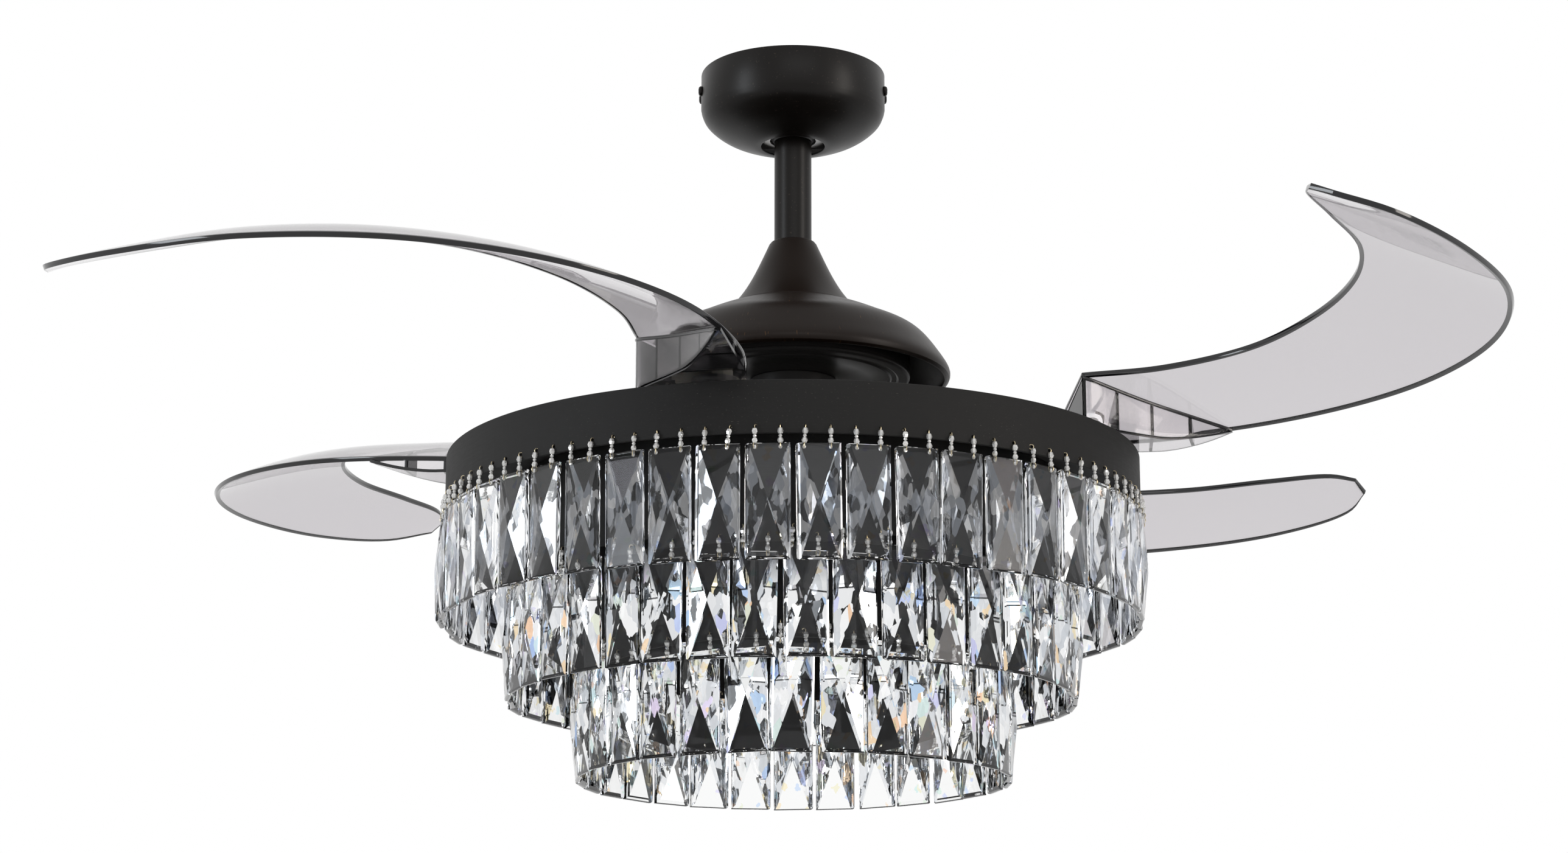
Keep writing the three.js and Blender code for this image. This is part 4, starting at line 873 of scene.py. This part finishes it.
def band(name, outer, wall, foot, top, tier, flange=0.0):
    """A rolled band, drilled for its tier's strings, with a flange inwards at its top if wanted."""
    rim = 0.35 * MM
    inner = outer - wall
    outline = [(inner, foot + rim), (inner + rim, foot), (outer - rim, foot), (outer, foot + rim),
               (outer, top - rim), (outer - rim, top)]
    if flange:
        outline += [(inner - flange, top), (inner - flange, top - wall), (inner, top - wall)]
    else:
        outline += [(inner + rim, top), (inner, top - rim)]
    made = turned(name, outline, steps=RING_STEPS)
    drills = []
    start_clean()
    bpy.ops.mesh.primitive_cylinder_add(vertices=10, radius=HOLE_R, depth=wall * 4)
    drill = bpy.context.object
    for angle in string_places(tier):
        turn_out = Matrix.Rotation(angle, 4, "Z") @ Matrix.Translation(
            (outer - wall / 2, 0, foot + HOLE_RISE)) @ Matrix.Rotation(math.pi / 2, 4, "Y")
        drills.append(copied(drill, "drill", turn_out))
    bpy.data.objects.remove(drill)
    carve(made, joined("drills", drills))
    smooth(made, 35)
    return made


ring = band("light_ring_band", RING_R, RING_T, HEAD_Z - RING_H, HEAD_Z, 0)
finished(ring, charcoal, "root", "charcoal", "light_ring")
for tier in range(1, TIERS):
    name = f"tier_{tier + 1}_band"
    sheet = band(f"{name}_rolled", tier_radius(tier) + BAND_T / 2, BAND_T,
                 tier_top(tier) + BAND_CLEAR, PLATE_Z - 0.3 * MM, tier, BAND_FLANGE)
    finished(sheet, charcoal, "root", "charcoal", name)

plate_r = RING_R - RING_T - 0.3 * MM
plate_top, step_z, rim_z = PLATE_Z + PLATE_SHEET_T, PLATE_Z + 1.0 * MM, PLATE_Z - PLATE_RIM_H
lamp_plate = turned("lamp_plate_pressing", [
    (plate_r, rim_z), (plate_r, PLATE_Z + 0.6 * MM), (plate_r - 1 * MM, plate_top),
    (PLATE_STEP_R, plate_top), (PLATE_STEP_R - 2 * MM, step_z), (PLATE_BORE_R, step_z),
    (PLATE_BORE_R, PLATE_Z), (plate_r - PLATE_SHEET_T, PLATE_Z), (plate_r - PLATE_SHEET_T, rim_z),
], steps=RING_STEPS)
finished(lamp_plate, charcoal, "root", "charcoal", "lamp_plate")

# ---- Lamp: a holder plate with four sockets, each with a clear capsule bulb ----
# The plate is pressed steel, and each socket is a glazed ceramic cup screwed to it. The bulbs
# are fused glass capsules with a coiled filament on two wires, unlit as in the photograph.
BULBS = 4
BULB_CIRCLE_R = 42 * MM
BULB_R = 7.5 * MM
BULB_L = 36 * MM
HOLDER_TOP_Z = PLATE_Z - 0.3 * MM
SOCKET_MOUTH_Z = HOLDER_TOP_Z - 20 * MM
SOCKET_R = 10 * MM
SOCKET_DEPTH = 10.5 * MM
BULB_DEPTH = 9.5 * MM
HOLDER_R = 60 * MM
HOLDER_HOLE_R = 15 * MM
BULB_WALL = 1 * MM
FILAMENT_HALF = 2.6 * MM
COIL_R = 0.8 * MM
COIL_TURN = 0.9

ceramic = Finish("glazed_ceramic")
craze = ceramic.noise(80)
ceramic.set(
    Base_Color=ceramic.blend(craze, (0.72, 0.71, 0.67, 1), (0.80, 0.79, 0.76, 1)),
    Roughness=craze * 0.1 + 0.14,
    Coat_Weight=0.4,
)
clear_glass = Finish("clear_glass")
wave = clear_glass.noise(30)
clear_glass.set(
    Base_Color=clear_glass.blend(wave, (0.97, 0.98, 0.98, 1), (0.99, 0.99, 0.99, 1)),
    Roughness=0.01,
    IOR=1.5,
    Transmission_Weight=1.0,
)
filament = Finish("tungsten_wire")
tarnish = filament.noise(400)
filament.set(
    Base_Color=filament.blend(tarnish, (0.20, 0.20, 0.21, 1), (0.36, 0.35, 0.34, 1)),
    Metallic=1.0,
    Roughness=tarnish * 0.2 + 0.25,
)
holder_low = HOLDER_TOP_Z - 2 * MM
holder_plate = turned("holder_plate", [
    (HOLDER_HOLE_R, HOLDER_TOP_Z), (HOLDER_HOLE_R, holder_low), (HOLDER_R - 2 * MM, holder_low),
    (HOLDER_R - 0.6 * MM, holder_low + 0.5 * MM), (HOLDER_R, HOLDER_TOP_Z - 0.4 * MM),
    (HOLDER_R, HOLDER_TOP_Z)])
finished(holder_plate, satin_black, "root", "satin_black", "lamp_holder")
for number in range(1, BULBS + 1):
    angle = (number - 0.5) * 2 * math.pi / BULBS
    shift = Matrix.Translation(
        (BULB_CIRCLE_R * math.cos(angle), BULB_CIRCLE_R * math.sin(angle), 0))
    cup_r = BULB_R - 1.2 * MM
    socket = turned(f"bulb_socket_{number}", [
        (0.001 * MM, holder_low + 0.3 * MM), (0.001 * MM, SOCKET_MOUTH_Z + SOCKET_DEPTH),
        (cup_r, SOCKET_MOUTH_Z + SOCKET_DEPTH), (cup_r, SOCKET_MOUTH_Z + 0.5 * MM),
        (cup_r + 0.5 * MM, SOCKET_MOUTH_Z), (SOCKET_R - 1 * MM, SOCKET_MOUTH_Z),
        (SOCKET_R, SOCKET_MOUTH_Z + 1 * MM), (SOCKET_R, SOCKET_MOUTH_Z + 6 * MM),
        (SOCKET_R - 0.7 * MM, SOCKET_MOUTH_Z + 6.6 * MM), (SOCKET_R, SOCKET_MOUTH_Z + 7.2 * MM),
        (SOCKET_R, holder_low + 0.3 * MM)], steps=48)
    place(socket, shift)
    finished(socket, ceramic, "root", "satin_black")
    neck_z = SOCKET_MOUTH_Z - 0.3 * MM
    tip_z = neck_z - BULB_L
    foot_r = BULB_R - 1.6 * MM
    skin = [(0.001 * MM, tip_z), (0.9 * MM, tip_z + 0.3 * MM), (1.6 * MM, tip_z + 2 * MM),
            (BULB_R * 0.62, tip_z + 3.4 * MM), (BULB_R * 0.92, tip_z + 6 * MM),
            (BULB_R, tip_z + 9 * MM), (BULB_R, neck_z - 4 * MM), (foot_r, neck_z),
            (foot_r, SOCKET_MOUTH_Z + BULB_DEPTH), (0.001 * MM, SOCKET_MOUTH_Z + BULB_DEPTH)]
    capsule = turned(f"bulb_capsule_{number}", skin, steps=32)
    hollow = turned("hollow", [
        (0.001 * MM, tip_z + 4 * MM), (BULB_R * 0.5, tip_z + 4.6 * MM),
        (BULB_R - BULB_WALL, tip_z + 9 * MM), (BULB_R - BULB_WALL, neck_z - 5 * MM),
        (0.001 * MM, neck_z - 3 * MM)], steps=32)
    hollow.data.flip_normals()
    capsule = joined(f"bulb_capsule_{number}", [capsule, hollow])
    place(capsule, shift)
    finished(capsule, clear_glass, "root", "bulb_glass", f"bulb_{number}")
    start_clean()
    wires_made = []
    for side in (-1, 1):
        bpy.ops.mesh.primitive_cylinder_add(vertices=6, radius=0.3 * MM, depth=11 * MM)
        wires_made.append(bpy.context.object)
        place(wires_made[-1], Matrix.Translation((side * FILAMENT_HALF, 0, neck_z - 9 * MM)))
    coil = [(FILAMENT_HALF * (t / 30 - 1), COIL_R * math.sin(t * COIL_TURN),
             neck_z - 14.5 * MM + COIL_R * math.cos(t * COIL_TURN)) for t in range(61)]
    line = bpy.data.curves.new("coil", "CURVE")
    line.dimensions = "3D"
    line.bevel_depth = 0.22 * MM
    line.bevel_resolution = 1
    spline = line.splines.new("POLY")
    spline.points.add(len(coil) - 1)
    for point, spot in zip(spline.points, coil):
        point.co = (*spot, 1)
    coil_piece = bpy.data.objects.new("coil", line)
    bpy.context.scene.collection.objects.link(coil_piece)
    start_clean()
    coil_piece.select_set(True)
    bpy.context.view_layer.objects.active = coil_piece
    bpy.ops.object.convert(target="MESH")
    wires_made.append(bpy.context.object)
    fine_wire = joined(f"bulb_filament_{number}", wires_made)
    place(fine_wire, shift)
    finished(fine_wire, filament, "root", "steel")

# ---- Crystals: three tiers of flat drops, cut with a cross of facets on front and back ----
# Each is pressed and polished lead glass with rounded corners and a thin bevelled border. Four
# long facets rise to a point on each side. The two at left and right carry painted highlights,
# kept dimmer on the top tier as painted shade, and a few patches carry painted rainbow fire. Each
# hangs on two bead strings, a little askew.
DROP_T = 3.4
DROP_CLEAR = 0.5
CORNER_R = 1.9
BORDER_W = 1.1
BORDER_RISE = 0.7
POINT_RISE = 4.3
SEED = 7
# How far a drop hangs off true about the upright, the tangent and the way out, in degrees
ASKEW = (2.2, 0.7, 0.5)


def cut_drop():
    """One drop, upright, its top edge at z = 0 and its middle on the Z axis, in millimetres."""
    start_clean()
    width, height = CRYSTAL_W / MM, CRYSTAL_H / MM - DROP_CLEAR
    bpy.ops.mesh.primitive_cube_add(size=1, location=(0, 0, 0))
    drop = bpy.context.object
    drop.name = "drop"
    place(drop, Matrix.Translation((0, 0, -height / 2)) @ Matrix.Diagonal((DROP_T, width, height, 1)))
    shape = edit()
    bpy.ops.mesh.select_all(action="DESELECT")
    for edge in shape.edges:
        ends = [v.co for v in edge.verts]
        edge.select = abs(ends[0].x - ends[1].x) > DROP_T / 2
    shape.select_flush_mode()
    bpy.ops.mesh.bevel(offset=CORNER_R, segments=2, affect="EDGES")
    for side in (-1, 1):
        bpy.ops.mesh.select_all(action="DESELECT")
        shape = bmesh.from_edit_mesh(drop.data)
        for face in shape.faces:
            face.select = face.normal.x * side > 0.9 and face.calc_area() > width * height / 2
        bpy.ops.mesh.inset(thickness=BORDER_W, depth=BORDER_RISE)
        bpy.ops.mesh.poke(offset=POINT_RISE)
    bpy.ops.object.mode_set(mode="OBJECT")
    drop.data.materials.append(crystal.material)
    # The left and right facets get the material with painted highlights.
    drop.data.materials.append(highlight_facet_paint.material)
    for face in drop.data.polygons:
        slopes_sideways = abs(face.normal.y) > max(0.15, abs(face.normal.z))
        face.material_index = int(slopes_sideways and abs(face.normal.x) > 0.7)
    return drop


def shards(finish, where, scale):
    """Three random values from 0 to 1, each the same all over one straight-sided patch."""
    cells = finish.node("TexVoronoi", {"distance": "CHEBYCHEV"}, {"Vector": where, "Scale": scale},
                        output="Color")
    split = finish.node("SeparateColor", {"mode": "RGB"}, {"Color": cells})
    return [Value(finish, split.socket.node.outputs[name]) for name in ("Green", "Red", "Blue")]


crystal = Finish("cut_lead_crystal")
chance, hue, _ = shards(crystal, crystal.place(turn=(0.4, 0.7, 0.3)), 210.0)
# Painted rainbow fire: a few patches of the glass take a spectral colour, painted in for the dispersion
# of light in cut glass.
painted_rainbow_fire = crystal.node("ValToRGB", {"stops": [
    (0.0, (1.0, 0.35, 0.12, 1)), (0.25, (1.0, 0.78, 0.20, 1)), (0.5, (0.35, 0.85, 0.75, 1)),
    (0.75, (0.22, 0.42, 1.0, 1)), (1.0, (0.85, 0.55, 1.0, 1))]}, {"Fac": hue})
painted_fire_spots = chance > 0.955
body_tint = crystal.noise(12)
glass_color = crystal.blend(body_tint, (0.955, 0.965, 0.965, 1), (0.99, 0.99, 0.985, 1))
crystal.set(
    Base_Color=crystal.blend(painted_fire_spots * 0.65, glass_color, painted_rainbow_fire),
    Roughness=0.0,
    IOR=1.56,
    Transmission_Weight=1.0,
    Specular_Tint=(0.35, 0.35, 0.36, 1),
)

# Painted highlights: the left and right facets are pale, partly diffuse and in patches partly metallic,
# standing in for the light that flashes off and through them. On the top tier (above -0.43 m) they are
# kept dimmer as painted shade, and a few patches carry painted rainbow fire.
highlight_facet_paint = Finish("painted_highlight_side_facet")
chance, hue, grey = shards(highlight_facet_paint, highlight_facet_paint.place((1, 1, 0.5), (0.5, 0.3, 0.6)), 150.0)
apart = highlight_facet_paint.node("SeparateXYZ", sockets={"Vector": highlight_facet_paint.place()})
painted_light_by_tier = highlight_facet_paint.ramp(Value(highlight_facet_paint, apart.socket.node.outputs["Z"]) * -1, 0.425, 0.445)
painted_rainbow_fire = highlight_facet_paint.node("ValToRGB", {"stops": [
    (0.0, (1.0, 0.50, 0.20, 1)), (0.3, (1.0, 0.85, 0.45, 1)), (0.5, (0.60, 0.90, 0.95, 1)),
    (0.75, (0.35, 0.55, 1.0, 1)), (1.0, (0.90, 0.70, 1.0, 1))]}, {"Fac": hue})
painted_dim_facet = highlight_facet_paint.blend(grey, (0.50, 0.54, 0.61, 1), (1.0, 1.0, 1.0, 1))
painted_bright_facet = highlight_facet_paint.blend(grey, (0.62, 0.65, 0.69, 1), (1.0, 1.0, 1.0, 1))
painted_bright_facet = highlight_facet_paint.blend((chance > 0.90) * 0.65, painted_bright_facet, painted_rainbow_fire)
highlight_facet_paint.set(
    Base_Color=highlight_facet_paint.blend(painted_light_by_tier, painted_dim_facet, painted_bright_facet),
    Metallic=(chance > 0.42) * (painted_light_by_tier * 0.70 + 0.19),
    Roughness=0.0,
    IOR=1.56,
    Transmission_Weight=1.0,
    Specular_Tint=(0.5, 0.5, 0.5, 1),
)

random.seed(SEED)
drop = cut_drop()
for tier in range(TIERS):
    count = crystal_count(tier)
    drops = []
    for i in range(count):
        angle = (i + 0.5) * 2 * math.pi / count
        askew = Matrix()
        for axis, spread in zip("ZYX", ASKEW):
            askew = askew @ Matrix.Rotation(random.gauss(0, math.radians(spread)), 4, axis)
        out = Matrix.Rotation(angle, 4, "Z") @ Matrix.Translation((tier_radius(tier), 0, tier_top(tier)))
        drops.append(copied(drop, "drop", out @ askew @ Matrix.Scale(MM, 4)))
    drops = joined(f"tier_{tier + 1}_drops", drops)
    finished(drops, None, "root", "crystal", f"crystal_tier_{tier + 1}")
bpy.data.objects.remove(drop)

# ---- Bead strings: two over each crystal ----
# A wire hook through the band's hole, a faceted bead, a small round bead, another faceted bead
# and a wire loop through the crystal's top. The beads are clear glass, the wire is brass-plated.
BEAD_OUT = 1.6
FACET_BEAD_R = 2.1
ROUND_BEAD_R = 1.35
HOOK_R = 1.7
LOOP_R = 2.2
WIRE_R = 0.33
SWAY = 0.05
TWIST = 0.35

brass = Finish("brass_plated_wire")
dull = brass.noise(300)
brass.set(
    Base_Color=brass.blend(dull, (0.42, 0.34, 0.20, 1), (0.60, 0.53, 0.38, 1)),
    Metallic=1.0,
    Roughness=dull * 0.2 + 0.2,
)
bead_glass = Finish("bead_glass")
bead_tone = bead_glass.noise(260)
bead_glass.set(
    Base_Color=bead_glass.blend(bead_tone, (0.86, 0.85, 0.82, 1), (0.97, 0.97, 0.96, 1)),
    Roughness=0.04,
    IOR=1.5,
    Transmission_Weight=0.55,
    Metallic=0.35,
)


def bead_string():
    """One string in millimetres, hanging from its hole at the origin, outwards along +X."""
    parts_made = []

    def bead(r, half, z, sides, rings):
        bpy.ops.mesh.primitive_uv_sphere_add(segments=sides, ring_count=rings, radius=1)
        made = bpy.context.object
        place(made, Matrix.Translation((BEAD_OUT, 0, z)) @ Matrix.Diagonal((r, r, half, 1)))
        made.data.materials.append(bead_glass.material)
        parts_made.append(made)

    def loop(r, z, out):
        bpy.ops.mesh.primitive_torus_add(
            major_segments=12, minor_segments=5, major_radius=r, minor_radius=WIRE_R)
        made = bpy.context.object
        place(made, Matrix.Translation((out, 0, z)) @ Matrix.Rotation(math.pi / 2, 4, "X"))
        made.data.materials.append(brass.material)
        parts_made.append(made)

    start_clean()
    loop(HOOK_R, -0.4, 0.1)
    bead(FACET_BEAD_R, 2.6, -3.6, 6, 4)
    bead(ROUND_BEAD_R, 1.2, -6.9, 8, 5)
    bead(FACET_BEAD_R, 2.3, -10.1, 6, 4)
    loop(LOOP_R, -13.6, BEAD_OUT - 0.4)
    bead(ROUND_BEAD_R, 1.7, -14.6, 6, 4)
    return joined("string", parts_made)


string = bead_string()
for tier in range(TIERS):
    outer = RING_R if tier == 0 else tier_radius(tier) + BAND_T / 2
    foot = HEAD_Z - RING_H if tier == 0 else tier_top(tier) + BAND_CLEAR
    strings = []
    for angle in string_places(tier):
        sway = Matrix.Rotation(random.gauss(0, SWAY), 4, "X")
        sway = sway @ Matrix.Rotation(random.gauss(0, TWIST), 4, "Z")
        hang = Matrix.Rotation(angle, 4, "Z") @ Matrix.Translation((outer, 0, foot + HOLE_RISE))
        strings.append(copied(string, "string", hang @ Matrix.Scale(MM, 4)
                              @ Matrix.Translation((BEAD_OUT, 0, 0)) @ sway
                              @ Matrix.Translation((-BEAD_OUT, 0, 0))))
    strings = joined(f"tier_{tier + 1}_beads", strings)
    smooth(strings, 25)
    finished(strings, None, "root", "crystal")
bpy.data.objects.remove(string)

# ---- Pieces that keep their working shape ----
# The bracket, pins, bearings, windings, carrier and gears are shown as the solids that they are
# in CAD, machined, pressed or moulded, each with the finish that its slot names.
for row in frame["record"]["subparts"]:
    node = nodes[row["node"]]
    if not node.hide_render:
        node.data.materials.clear()
        node.data.materials.append(finish_of_slot[row["material_slot"]].material)
